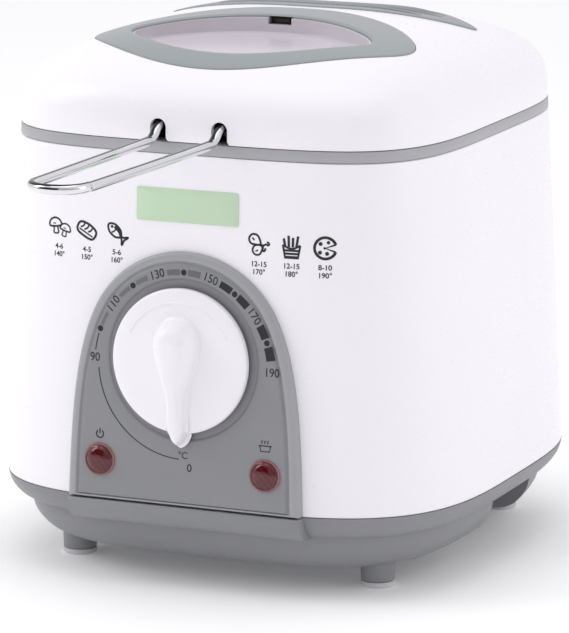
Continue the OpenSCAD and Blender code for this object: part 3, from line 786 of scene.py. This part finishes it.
dark, mid_ink, light = [], [], []
DOTS = (-70, -35, 0, 35, 70)
for angle in DOTS:
    u, v = clock(angle, PRINT_R)
    dark.append(stroke(arc(u, v, 0.62, 0, 360, 28), 1.2, on_print))
for angle, text in ((-52.5, "110"), (-17.5, "130"), (17.5, "150"), (52.5, "170"), (-88, "90"), (88, "190")):
    u, v = clock(angle, PRINT_R)
    turn = -radians(angle) if abs(angle) < 60 else 0.0
    dark.append(glyphs(text, 3.5, lambda a, b, w, u=u, v=v: on_print(u + a * 0.9, v + b, w + 0.03), turn))
spans = [(angle - 10.8, angle - 2.6) for angle in DOTS[1:]] + [(angle + 2.6, angle + 10.8) for angle in DOTS]
for start, end in spans:
    count = 10
    points, widths = [], []
    for k in range(count + 1):
        angle = mix(start, end, k / count)
        points.append(clock(angle, PRINT_R))
        widths.append(mix(1.0, 3.9, (angle + 82) / 164))
    shade = light if end < -20 else mid_ink if end < 15 else dark
    shade.append(stroke(points, widths, on_print))
dark.append(stroke([clock(angle, PRINT_R) for angle in (-83.5, -80, -76, -73)], 0.4, on_print))
thin = [clock(-94 - k * 2, 37.6) for k in range(43)]
dark.append(stroke(thin, 0.4, on_print))
dark.append(glyphs("°C", 2.8, lambda a, b, w: on_print(a + 0.4, b - 39.4, w + 0.03)))
dark.append(glyphs("0", 3.2, lambda a, b, w: on_print(a + 3.4, b - 44.4, w + 0.03)))
lens = lens_put(-1)
dark.append(stroke(arc(0, 10.6, 1.6, -235, 55, 22), 0.5, lambda u, v, w: lens(u, v, 3.02 + w)))
dark.append(stroke([(0, 10.8), (0, 12.9)], 0.5, lambda u, v, w: lens(u, v, 3.02 + w)))
lens = lens_put(1)
pot_sign = [[(-2.3, 12.2), (-2.0, 10.0), (2.0, 10.0), (2.3, 12.2)], [(-2.9, 12.3), (2.9, 12.3)],
            [(-1.3, 13.2), (-1.6, 13.9), (-1.1, 14.5)], [(0, 13.2), (-0.3, 13.9), (0.2, 14.5)],
            [(1.3, 13.2), (1.0, 13.9), (1.5, 14.5)]]
for line in pot_sign:
    dark.append(stroke(line, 0.42, lambda u, v, w: lens(u, v, 3.02 + w)))
piece("dial_print_dark", dark, "housing", "panel_grey", material="ink_dark", weld=1e-3)
piece("dial_print_mid", mid_ink, "housing", "panel_grey", material="ink_mid")
piece("dial_print_light", light, "housing", "panel_grey", material="ink_light")


# ---- food pictograms on the housing ----

def food_put(x, z):
    return lambda u, v, w: on_front(x + u, z + v, 0.03 + w)


def turned(put, angle, x=0.0, y=0.0, size=1.0):
    c, s = cos(radians(angle)) * size, sin(radians(angle)) * size
    return lambda u, v, w: put(x + u * c - v * s, y + u * s + v * c, w)


def strokes(put, *lines):
    return [stroke(points, width, put) for points, width in lines]


def mushroom(put):
    cap = closed_curve([(-4.4, 0.4), (-3.2, 3.2), (0, 4.4), (3.2, 3.2), (4.4, 0.4), (2.2, -0.4), (-2.2, -0.4)])
    stem = open_curve([(-1.3, -0.4), (-1.5, -2.4), (-1.7, -4.0), (0, -4.5), (1.7, -4.0), (1.5, -2.4),
                       (1.3, -0.4)])
    parts = []
    for place in (turned(put, 8, -1.9, 0.6, 0.72), turned(put, -14, 2.9, -0.9, 0.6)):
        parts += strokes(place, (cap, 1.1), (stem, 0.9), ([(-1.6, 1.2), (0.4, 1.2)], 0.6))
    return parts


def bread(put):
    place = turned(put, -28, 0, 0.4)
    loaf = closed_curve([(-4.6, -0.6), (-3.6, -2.6), (0, -3.0), (3.6, -2.6), (4.6, -0.6), (3.8, 1.6), (0, 2.4),
                         (-3.8, 1.6)])
    cuts = [(open_curve([(x, -0.6), (x + 0.9, 0.6), (x + 1.0, 1.9)]), 0.7) for x in (-3.1, -1.1, 0.9)]
    return strokes(place, (loaf, 0.95), ([(-3.4, -1.4), (3.6, -1.4)], 0.6), *cuts)


def fish(put):
    place = turned(put, -42, 0, 0.3)
    body = closed_curve([(-5.0, 0), (-2.8, 2.0), (0.6, 1.9), (2.9, 0.3), (5.0, 2.2), (4.5, 0), (5.0, -2.2),
                         (2.9, -0.3), (0.6, -1.9), (-2.8, -2.0)])
    back = open_curve([(-2.4, 1.2), (0.4, 1.1), (2.4, 0.2)])
    gill = open_curve([(-1.7, 1.6), (-1.2, 0), (-1.7, -1.6)])
    eye = arc(-3.2, 0.3, 0.3, 0, 360, 12)
    return strokes(place, (body, 0.85), (back, 1.3), (eye, 0.6), (gill, 0.6))


def pizza(put):
    parts = strokes(put, (arc(0, 0.2, 4.3, 20, 340, 40), 1.1), ([(4.0, 1.7), (0, 0.2), (4.0, -1.3)], 0.8))
    for x, y, r in ((-1.9, 1.9, 0.8), (1.2, 2.5, 0.7), (-2.1, -1.6, 0.8), (0.7, -2.0, 0.8), (-0.3, 0.2, 0.5)):
        parts.append(stroke(arc(x, y, r * 0.5, 0, 360, 14), r, put))
    return parts


def fries(put):
    cup = [(-3.6, 0.8), (-2.7, -4.4), (2.7, -4.4), (3.6, 0.8)]
    bands = [([(-3.0 + 0.2 * k, -1.4 - k * 1.3), (3.0 - 0.2 * k, -1.4 - k * 1.3)], 0.9) for k in range(3)]
    lip = open_curve([(-3.6, 0.8), (-1.6, -0.3), (0, -0.6), (1.6, -0.3), (3.6, 0.8)])
    sticks = [([(x, 0.0), (x + slant, tip)], 1.0)
              for x, slant, tip in ((-2.6, -0.7, 3.4), (-1.1, -0.2, 4.6), (0.5, 0.1, 3.8), (2.0, 0.7, 4.5))]
    return strokes(put, (cup, 0.9), (lip, 0.8), *bands, *sticks)


def drumstick(put):
    meat = closed_curve([(-4.4, 2.0), (-2.8, 4.2), (0, 4.0), (1.6, 1.6), (1.9, -0.9), (-0.6, -1.0),
                         (-3.4, -0.4)])
    bone = open_curve([(1.5, -0.6), (3.2, -2.4), (3.0, -3.6), (3.9, -4.2), (4.6, -3.3), (4.4, -2.6)])
    parts = []
    for place in (turned(put, 0, -0.9, 0.9, 0.78), turned(put, 74, 0.7, -1.3, 0.72)):
        parts += strokes(place, (meat, 1.05), (bone, 1.1), ([(-2.6, 2.4), (-1.4, 1.2)], 0.8))
    return parts


art = []
icons = ((-59, mushroom), (-45.3, bread), (-31.5, fish), (31.5, drumstick), (45.3, fries), (59, pizza))
settings = (("4-6", 140), ("4-5", 150), ("5-6", 160), ("12-15", 170), ("12-15", 180), ("8-10", 190))
for (x, draw), (minutes, heat) in zip(icons, settings):
    art += draw(food_put(x, 146))
    for text, z in ((minutes, 138.2), (f"{heat}°", 135.0)):
        art.append(glyphs(text, 2.1, lambda a, b, w, x=x, z=z: on_front(x + a, z + b, 0.06 + w), bold=0.02))
piece("food_signs", art, "housing", "white_shell", material="ink_dark", weld=1e-3)


# ---- knob ----

KNOB_R = (KNOB_HI.x - KNOB_LO.x) / 2


def fin_half(v):
    if v >= 8:
        return 9.0 * sqrt(max(0.0, 1 - ((v - 8) / 9.6) ** 2))
    if v >= -29:
        return mix(3.7, 9.0, smoothstep((v + 18) / 24))
    return 3.7 * max(0.0, 1 - (min(1.0, (-29 - v) / 5.6)) ** 1.6) ** 0.7


def fin_outline(count=60):
    heights = [mix(17.6, -34.6, (1 - cos(pi * k / count)) / 2) for k in range(count + 1)]
    side = [(fin_half(v), v) for v in heights]
    return side + [(-u, v) for u, v in reversed(side[1:-1])]


def fin_foot(reach, high, low):
    """Height of the fin's foot at that distance from the knob's axis: lower past the disc's edge."""
    return mix(high, low, smoothstep((reach - KNOB_R + 1.2) / 2))


def fin():
    """Pointed grip: a flared foot, then its outline shrunk towards the spine as it rises to the ridge."""
    outline = fin_outline()
    rings = []
    for spread, drop in ((1.4, -0.35), (0.9, -0.05), (0.5, 0.3), (0.2, 0.8)):
        ring = []
        for u, v in outline:
            spine = Vector((0, min(8, max(-31, v))))
            out = Vector((u, v)) - spine
            far = max(out.length, 0.001)
            point = spine + out * ((far + spread) / far)
            ring.append(on_panel(point.x, point.y, fin_foot(point.length, 8.3, 4.4) + drop))
        rings.append(ring)
    for lam in [cos(pi / 2 * k / 15) for k in range(15)] + [0.04]:
        ring = []
        for u, v in outline:
            spine_v = min(8, max(-31, v))
            ridge = mix(10.8, 19.4, (spine_v + 31) / 39)
            foot = fin_foot(hypot(u, v), 9.5, 5.2)
            w = foot + (ridge - foot) * (1 - lam ** 3) ** (1 / 1.8)
            ring.append(on_panel(u * lam, spine_v + (v - spine_v) * lam, w))
        rings.append(ring)
    return loft(rings)


disc = [(0.01, 3.7), (6.4, 3.7), (6.4, 5.4), (27.6, 5.4), (27.6, 3.8), (27.9, 3.62), (29.2, 3.62), (29.6, 3.8),
        (KNOB_R, 4.2), (KNOB_R, 5.9), (KNOB_R - 0.15, 6.5), (KNOB_R - 0.5, 6.95), (KNOB_R - 1.1, 7.2),
        (25, 7.65), (20, 8.0), (14, 8.22), (8, 8.34), (0.01, 8.4)]
ridge_line = smooth([on_panel(u, v, 7.62) for u, v in arc(0, 0, 24, 154, 26, 16)], 4)
piece("knob_turned", [lathe(disc, on_panel, 144), fin(), tube(ridge_line, 0.42, 8)], "dial", "knob_white",
      "knob")


# ---- lid ----

def notch_cut():
    """Arched notch for a handle wire, with a small flare at its foot."""
    half = 3.5
    top_z = SEAM_Z + 9.3 - half
    flare = [(half + 1.1, SEAM_Z - 1), (half + 1.1, SEAM_Z + 0.3), (half + 0.45, SEAM_Z + 0.8),
             (half + 0.1, SEAM_Z + 1.6), (half, SEAM_Z + 2.6)]
    outline = [(-half - 1.1, SEAM_Z - 1)] + flare
    outline += arc(0, top_z, half, 0, 180, 16)
    outline += [(-u, v) for u, v in reversed(flare[1:])]
    return prism(outline, lambda u, v, w: (13.5 + u, w, v), -112, -88)


VENT_ROWS = [(32, 47), (38.5, 54), (45, 53), (51.5, 43)]


def slots(width, shorter, z0, z1):
    parts = []
    for y, reach in VENT_ROWS:
        outline = rounded(-reach + shorter, y - width / 2, reach - shorter, y + width / 2, width * 0.49, 5)
        parts.append(prism(outline, upright(0, 0), z0, z1))
    return parts


steps = [0.008, 0.03, 0.07, 0.12, 0.18, 0.25, 0.31, 0.38, 0.44, 0.5, 0.56, 0.62, 0.67, 0.72, 0.76, 0.8, 0.84,
         0.87, 0.9, 0.93]
runs = [dome_s(w) for w in steps]
runs += [mix(runs[-1], 1, k / 12) for k in range(1, 13)]
rings = [level(lid_plan(0.5), LID_LO.z), level(lid_plan(0.12), LID_LO.z + 0.1)]
rings += [lid_ring(s, 0) for s in runs]
rings += [lid_ring(s, LID_WALL) for s in reversed(runs[1::2])]
rings.append(level(lid_plan(LID_WALL), LID_LO.z))
posts = []
for x, y in LID_POSTS:
    reach = 1 + 4 / hypot(x, y)
    tall = dome_z(x * reach, y * reach, 0) - 0.6
    posts.append(lathe([(0.01, 201.5), (3.7, 201.5), (4, 201.8), (4, tall), (0.01, tall)], upright(x, y), 32))
piece("lid_dome", [loft(rings, wrap=True)], "lid", "white_shell", "lid_shell",
      cut=[notch_cut(), mirrored(notch_cut())] + slots(2.0, 4, 200, 230))
piece("lid_bosses", posts, "lid", "white_shell")

# Bezel round the window
rings = [on_dome(frame_leaf(d), up)
         for d, up in ((-0.05, -2.2), (-0.05, 0.1), (-0.15, 0.3), (-0.5, 0.47), (-1.2, 0.5))]
rings += [on_dome(blend(frame_leaf(-1.2), glass_leaf(2.6), k / 9), 0.5) for k in range(1, 9)]
rings += [on_dome(glass_leaf(d), up)
          for d, up in ((2.6, 0.5), (1.6, 0.42), (0.9, 0.15), (0.4, -0.2), (0.3, -0.8))]
rings += [on_glass(glass_leaf(0.3), 0.1), on_glass(glass_leaf(3.4), 0.1), on_dome(glass_leaf(4.6), -2.2)]
CATCH_LO, CATCH_HI = 220.8, 224.1
catch_cut = block((-5.3, -14, CATCH_LO), (5.3, -5.6, CATCH_HI))
piece("window_bezel", [loft(rings, wrap=True)], "lid", "band_grey", "window_frame", material="bezel_grey",
      cut=[catch_cut])

# Window tray: a pane and a low wall that stands up inside the bezel
rings = [on_glass(glass_leaf(d), up) for d, up in ((2.9, -2.5), (3.2, -2.2), (3.2, -0.1), (0.2, 0))]
rings += [on_dome(glass_leaf(d), up) for d, up in ((0.2, -0.9), (-0.3, -0.75), (-1, -0.9))]
rings += [on_glass(glass_leaf(d), up) for d, up in ((-1, 0.9), (-1.25, 0.3), (-2.0, 0))]
rings += [on_glass(about(glass_leaf(-2.0), -40, s), 0) for s in (0.75, 0.5, 0.25, 0.04)]
piece("window_tray", [loft(rings)], "lid", "window_clear", "lid_window", cut=[catch_cut])

# Dark catch in the rear wall of the window well
catch = [block((-5.3, -6.6, CATCH_LO), (5.3, -5.7, CATCH_HI)),
         block((-5.3, -8.0, CATCH_LO), (5.3, -6.6, CATCH_LO + 0.3)),
         soft_block((-3.6, -7.4, CATCH_LO + 0.4), (3.6, -6.4, CATCH_HI - 0.9), 0.4, 0.2)]
piece("window_catch", catch, "lid", "band_grey", material="slot_dark")

seal = ((3.2, -3.6), (3.2, -2.7), (2.9, -2.6), (-0.5, -2.6), (-0.8, -2.8), (-1.0, -3.2), (-0.7, -3.6),
        (0.5, -3.75), (2.8, -3.7))
rings = [on_glass(glass_leaf(d), up) for d, up in seal]
piece("window_seal", [loft(rings, wrap=True)], "lid", "silicone", "window_gasket")

# Pressed inner lid
LINER_Z = 201.4
UNDER_Z = LINER_Z - 1.4
brow = ((5, 196.4), (4.75, 196.9), (4.6, 197.5), (5.2, 198.3), (7.5, 199.5), (10, 200.6), (12, 201.2),
        (14, LINER_Z))
rings = [level(lid_plan(d), z) for d, z in brow]
deck = [blend(lid_plan(14), glass_leaf(9), k / 6) for k in range(1, 6)]
rings += [level(outline, LINER_Z) for outline in deck]
rings += [level(glass_leaf(9), LINER_Z), level(glass_leaf(7), LINER_Z + 0.5)]
rings += [on_glass(glass_leaf(d), up) for d, up in ((2.4, -4.2), (2.0, -3.8), (0.8, -3.8), (0.9, -4.4))]
rings += [level(glass_leaf(6), LINER_Z - 1.2), level(glass_leaf(9), UNDER_Z)]
rings += [level(outline, UNDER_Z) for outline in reversed(deck)]
rings += [level(lid_plan(d), z) for d, z in ((14, UNDER_Z), (11, 199.8), (7.5, 198.0), (6.2, 196.4))]
steam = [prism(rounded(x - 1.5, 32, x + 1.5, 62, 1.45, 5), upright(0, 0), 195, 205)
         for x in range(-28, 29, 7)]
holes = [lathe([(0.01, 195), (1.7, 195), (1.7, 208), (0.01, 208)], upright(x, y), 24) for x, y in LID_POSTS]
piece("liner_pressing", [loft(rings, wrap=True)], "lid", "sheet_aluminium", "lid_liner", cut=steam + holes)

# Louvred grille over the steam outlet, each slot with a raised lip behind it and a lower one before it
under = [(s, -0.2) for s in (0.03, 0.2, 0.4, 0.6, 0.8, 0.92, 0.99)]
over = [(1, 0.1), (1, 0.3), (0.995, 0.5), (0.985, 0.62), (0.965, 0.66), (0.9, 0.68), (0.8, 0.7), (0.7, 0.7),
        (0.55, 0.7), (0.4, 0.7), (0.2, 0.7), (0.03, 0.7)]
rings = [on_dome(about(vent_leaf(0), 42, s), up) for s, up in under + over]
lips = []
for y, reach in VENT_ROWS:
    for back, up, sunk, radius, sides in ((1.5, 0.75, 0.9, 0.75, 12), (-1.3, 0.45, 0.6, 0.5, 10)):
        path = []
        for k in range(41):
            x = mix(-reach + 0.6, reach - 0.6, k / 40)
            sink = sunk * abs(2 * k / 40 - 1) ** 8
            path.append((x, y + back, dome_z(x, y + back, 0) + up - sink))
        lips.append(tube(path, radius, sides))
piece("vent_grille", [loft(rings)], "lid", "vent_grey", "vent_cover", cut=slots(2.2, 0, 200, 230))
piece("vent_lips", lips, "lid", "vent_grey")

# Woven grease filter
FILTER_LO, FILTER_HI = corners("filter_mesh")
filter_z = (FILTER_LO.z + FILTER_HI.z) / 2


def strand(start, end, along_x_axis, other, phase, waves):
    points = []
    count = waves * 4
    for k in range(count + 1):
        s = mix(start, end, k / count)
        z = filter_z + 0.14 * cos(pi * (k / 4 + phase))
        points.append((s, other, z) if along_x_axis else (other, s, z))
    return tube(points, 0.14, 5)


weave = []
for k in range(19):
    y = mix(FILTER_LO.y + 0.5, FILTER_HI.y - 0.5, k / 18)
    weave.append(strand(FILTER_LO.x, FILTER_HI.x, True, y, k % 2, 34))
for k in range(34):
    x = mix(FILTER_LO.x + 0.5, FILTER_HI.x - 0.5, k / 33)
    weave.append(strand(FILTER_LO.y, FILTER_HI.y, False, x, k % 2, 19))
border = rounded(FILTER_LO.x + 0.3, FILTER_LO.y + 0.3, FILTER_HI.x - 0.3, FILTER_HI.y - 0.3, 1.2)
weave.append(tube(level(border, filter_z), 0.3, 8, closed=True))
piece("filter_weave", weave, "lid", "filter_steel", "filter_mesh")


# ---- pot ----

def ring_of(r, z):
    turns = [tau * i / N for i in range(N)]
    return [(r * cos(t), r * sin(t), z) for t in turns]


POT_R = 72
rings = [ring_of(1, POT_LO.z), ring_of(30, POT_LO.z), ring_of(POT_R - 8.8, POT_LO.z)]
rings += [ring_of(r, z) for r, z in arc(POT_R - 8.8, POT_LO.z + 10, 10, -90, 0, 8)[1:]]
rings += [ring_of(POT_R + 1.2, 120), ring_of(POT_R + 1.2, 180.1)]
brim = plan(POT_HI.x, POT_HI.y, LID_N)
rings += [level(brim, 180.1), level(brim, POT_HI.z - 0.3)]
rings.append(level(plan(POT_HI.x - 0.3, POT_HI.y - 0.3, LID_N), POT_HI.z))
lip_ring = ring_of(POT_R + 1.6, 0)
rings += [level(blend(brim, lip_ring, k / 4), POT_HI.z) for k in range(1, 5)]
rings += [ring_of(POT_R + out, POT_HI.z - down) for out, down in ((0.7, 0.12), (0.2, 0.5), (0, 1.2))]
rings += [ring_of(POT_R, z) for z in (160, 140, 120, 100)]
rings += [ring_of(r, z) for r, z in arc(POT_R - 8.8, POT_LO.z + 10, 8.8, 0, -90, 8)]
rings += [ring_of(40, POT_LO.z + 1.2), ring_of(1, POT_LO.z + 1.2)]
marks = []
for z, reach in ((118, 9), (150, 9), (134, 5)):
    marks.append(tube(level(arc(0, 0, POT_R + 0.1, 90 - reach, 90 + reach, 12), z), 0.45, 8))
piece("oil_pot_drawn", [loft(rings)] + marks, "housing", "pot_coating", "oil_pot")


# ---- basket ----

def wall_r(z):
    return mix(MESH_HI.x - 4.5, MESH_HI.x, (z - MESH_LO.z) / (MESH_HI.z - MESH_LO.z)) - 0.55


WIRE_R = 0.38
UPRIGHTS = 116
profile = [(wall_r(z), z) for z in [MESH_HI.z + 0.4 - k * 3.5 for k in range(25)]]
corner_z = MESH_LO.z + 6.3
profile += arc(wall_r(corner_z) - 5.6, corner_z, 5.6, 0, -90, 6)[1:]
profile.append((wall_r(corner_z) - 8.4, MESH_LO.z + 0.55))
wires = []
for i in range(UPRIGHTS):
    t = tau * i / UPRIGHTS
    path = []
    for k, (r, z) in enumerate(profile):
        wave = 0.33 * (1 if (k + i) % 2 else -1) if 0 < k < 30 else 0
        path.append(((r + wave) * cos(t), (r + wave) * sin(t), z))
    wires.append(tube(path, WIRE_R, 6))
for k, (r, z) in enumerate(profile[1:30], 1):
    path = []
    for i in range(UPRIGHTS * 2):
        t = pi * i / UPRIGHTS
        wave = -0.33 * (1 if (k + i // 2) % 2 else -1) if i % 2 == 0 else 0
        path.append(((r + wave) * cos(t), (r + wave) * sin(t), z))
    wires.append(tube(path, WIRE_R, 6, closed=True))
FLOOR_R = wall_r(corner_z) - 7.2
pitch = 3.5
lines = [pitch * k for k in range(-15, 16) if abs(pitch * k) < FLOOR_R - 1]
for m, across in enumerate(lines):
    half = sqrt(FLOOR_R ** 2 - across ** 2)
    count = int(2 * half / pitch) * 2 + 1
    first, second = [], []
    for k in range(count + 1):
        s = mix(-half, half, k / count)
        wave = 0.3 * cos(pi * (s / pitch + m))
        first.append((s, across, MESH_LO.z + 0.55 + wave))
        second.append((across, s, MESH_LO.z + 0.55 - wave))
    wires += [tube(first, WIRE_R, 6), tube(second, WIRE_R, 6)]
piece("basket_weave", wires, "basket", "mesh_steel", "basket_mesh", angle=60)

edge_z = middle("basket_rim").z
piece("basket_rim_wire", [torus(MESH_HI.x + 0.7, 1.45, upright(0, 0, edge_z), 180, 18)], "basket", "chrome",
      "basket_rim")

stand = [torus(54, 1.3, upright(0, 0, MESH_LO.z - 1.4), 144, 14)]
foot_z = POT_LO.z + 4
for turn in (45, 135, 225, 315):
    path = [(wall_r(182) + 1.45, 179), (wall_r(130) + 1.95, 130), (wall_r(93) + 1.95, 93),
            (wall_r(90) + 1.15, 90), (wall_r(90) - 0.95, 80), (wall_r(90) - 2.45, foot_z),
            (wall_r(90) - 4.95, foot_z - 1.1), (54, foot_z + 2), (54, MESH_LO.z - 1.4)]
    c, s = cos(radians(turn)), sin(radians(turn))
    stand.append(tube(smooth([(r * c, r * s, z) for r, z in path], 6), 1.1, 12))
piece("basket_stand", stand, "basket", "chrome", "basket_frame")


# ---- handle ----

handle_lo, handle_hi = corners("basket_handle")
TIP_Y = handle_lo.y + 2
half_path = [(12.4, FOLD.y, FOLD.z), (13.1, FOLD.y - 1.6, FOLD.z), (13.5, FOLD.y - 4.4, FOLD.z),
             (13.5, FOLD.y - 10, FOLD.z), (13.5, -97, 191.45), (13.5, -100.5, 191.15), (13.5, -103.5, 189.9),
             (13.45, -106.6, 187.7), (13.4, -109.6, 186.5), (13.35, -113, 186.3), (13.1, -130, 186.3),
             (12.4, -170, 186.5), (11.6, TIP_Y + 12.6, 186.9)]
for t in range(0, 90, 12):
    c, s = cos(radians(t)), sin(radians(t))
    half_path.append((11.3 * c ** 0.9, TIP_Y + 11.2 * (1 - s), 187))
whole = half_path + [(0, TIP_Y, 187)] + [(-x, y, z) for x, y, z in reversed(half_path)]
eyes = []
for side in (-1, 1):
    eye = [(0.01, 11.4), (1.7, 11.4), (2, 11.7), (2, 19.1), (1.7, 19.4), (0.01, 19.4)]
    eyes.append(lathe([(r, side * w) for r, w in eye], along_x(0, FOLD.y, FOLD.z), 28))
# The wire takes the chrome with a painted dark reflection along its top.
piece("handle_wire", [tube(smooth(whole, 5), 2.0, 24)] + eyes, "handle", "chrome", "basket_handle",
      material="chrome_wire_painted_reflection")


# ---- cord grommet ----

low, high = corners("cord_gland")
gx, gz = (low.x + high.x) / 2, (low.z + high.z) / 2


def collar(half, y0, y1, r, edge):
    rings = []
    for y, inset in ((y0, edge), (y0 + edge * 0.4, edge * 0.25), (y0 + edge, 0), (y1 - edge, 0),
                     (y1 - edge * 0.4, edge * 0.25), (y1, edge)):
        outline = rounded(-half + inset, -half + inset, half - inset, half - inset, r)
        rings.append([(gx + u, y, gz + v) for u, v in outline])
    return loft(rings)


bore = lathe([(0.01, -20), (3.3, -20), (3.3, 10), (0.01, 10)], along_y(gx, 108, gz), 32)
piece("cord_grommet", [collar(7.4, 96, 108.2, 2, 0.3)], "housing", "black_rubber", "cord_gland",
      add=[collar(10, 107.6, high.y, 3.4, 0.7), collar(10, 100.8, 103, 3, 0.4)], cut=[bore])
bead = torus(4.6, 0.8, lambda u, v, w: (gx + u, high.y - 0.8 + w, gz + v), 48, 10)
piece("cord_grommet_bead", [bead], "housing", "black_rubber")


# ---- CAD nodes that are shown as they are ----

KEPT = {
    "screw_steel": ("base_screws", "rim_screws", "thermostat_screws", "hinge_bracket", "bracket_screws",
                    "hinge_pin", "thermostat_shaft", "knob_clip", "lid_screws", "arm_screws"),
    "cast_aluminium": ("heat_spreader",), "sheet_aluminium": ("heat_shield",), "copper": ("sensor_bulb",),
    "element_sheath": ("heating_element",), "ceramic": ("element_terminals",), "nylon": ("terminal_block",),
    "brass": ("thermal_fuse", "earth_screw"), "phenolic": ("thermostat_body",),
    "lamp_glass": ("power_lamp", "heat_lamp"), "black_rubber": ("lamp_sockets",),
    "wire_insulation": ("internal_wires",), "filter_black": ("filter_foam",),
    "white_shell": ("lid_hinge_arm",), "chrome": ("handle_bracket",),
}
for material, names in KEPT.items():
    for name in names:
        obj = frame["nodes"][name]
        obj.data.materials.clear()
        obj.data.materials.append(MATERIALS[material])
        soften = obj.modifiers.new("soften", "BEVEL")
        soften.width = 0.25 * MM
        soften.segments = 2
        soften.limit_method = "ANGLE"
        soften.angle_limit = radians(40)


# ---- stage, light and camera ----

def card(name, w, h, material):
    """Flat rectangle for the stage, facing up."""
    obj = mesh_object(name, ([(-w, -h, 0), (w, -h, 0), (w, h, 0), (-w, h, 0)], [(0, 1, 2, 3)]))
    obj.data.materials.append(material)
    return obj


card("floor", 4.0, 4.0, surface("floor_paint", (252, 252, 252), 0.9, vary=0.003, bump=0.0,
                                Emission_Color=(1, 1, 1, 1), Emission_Strength=0.09))
scene = bpy.context.scene
scene.view_settings.view_transform = "Standard"
scene.view_settings.look = "None"
TARGET = Vector((0, MID_Y * MM, 95.45 * MM))


def direction(azimuth, elevation):
    a, e = radians(azimuth), radians(elevation)
    return Vector((sin(a) * cos(e), -cos(a) * cos(e), sin(e)))


def aim(obj, azimuth, elevation, distance):
    """Puts a lamp or card that far from the fryer, facing it."""
    away = direction(azimuth, elevation)
    obj.location = TARGET + away * distance
    obj.rotation_euler = (-away).to_track_quat("-Z", "Y").to_euler()


# White tent that is a little darker in front of the fryer
world = bpy.data.worlds.new("studio")
world.use_nodes = True
sky = world.node_tree
backdrop = sky.nodes["Background"]
backdrop.inputs["Color"].default_value = (0.985, 0.975, 1.0, 1)
fade = facing(sky, "Generated", direction(26, 8), From_Min=0.35, From_Max=1.0, To_Min=0.90, To_Max=0.52)
sky.links.new(fade, backdrop.inputs["Strength"])
scene.world = world


def softbox(name, azimuth, elevation, distance, size, power):
    light = bpy.data.lights.new(name, "AREA")
    light.shape = "RECTANGLE"
    light.size, light.size_y = size
    light.energy = power
    aim(add_object(name, light), azimuth, elevation, distance)


softbox("key", -62, 36, 1.7, (0.6, 0.9), 5.2)
softbox("over", 10, 84, 1.5, (1.2, 1.2), 3.4)
softbox("fill", 95, 20, 1.8, (0.8, 1.4), 2.6)

# Dark card that only mirrors see
flag = card("flag_front", 1.1, 0.65, MATERIALS["filter_black"])
aim(flag, -26, 24, 1.9)
flag.visible_camera = False
flag.visible_diffuse = False
flag.visible_shadow = False

camera = bpy.data.cameras.new("camera")
view = add_object("camera", camera)
back = direction(23.348, 11.805)
view.location = TARGET + back * 1.91892
view.rotation_euler = back.to_track_quat("Z", "Y").to_euler()
camera.sensor_width = 36
camera.lens = 256.25
camera.shift_x = -0.0078
camera.shift_y = -0.0045
camera.clip_end = 20
scene.camera = view
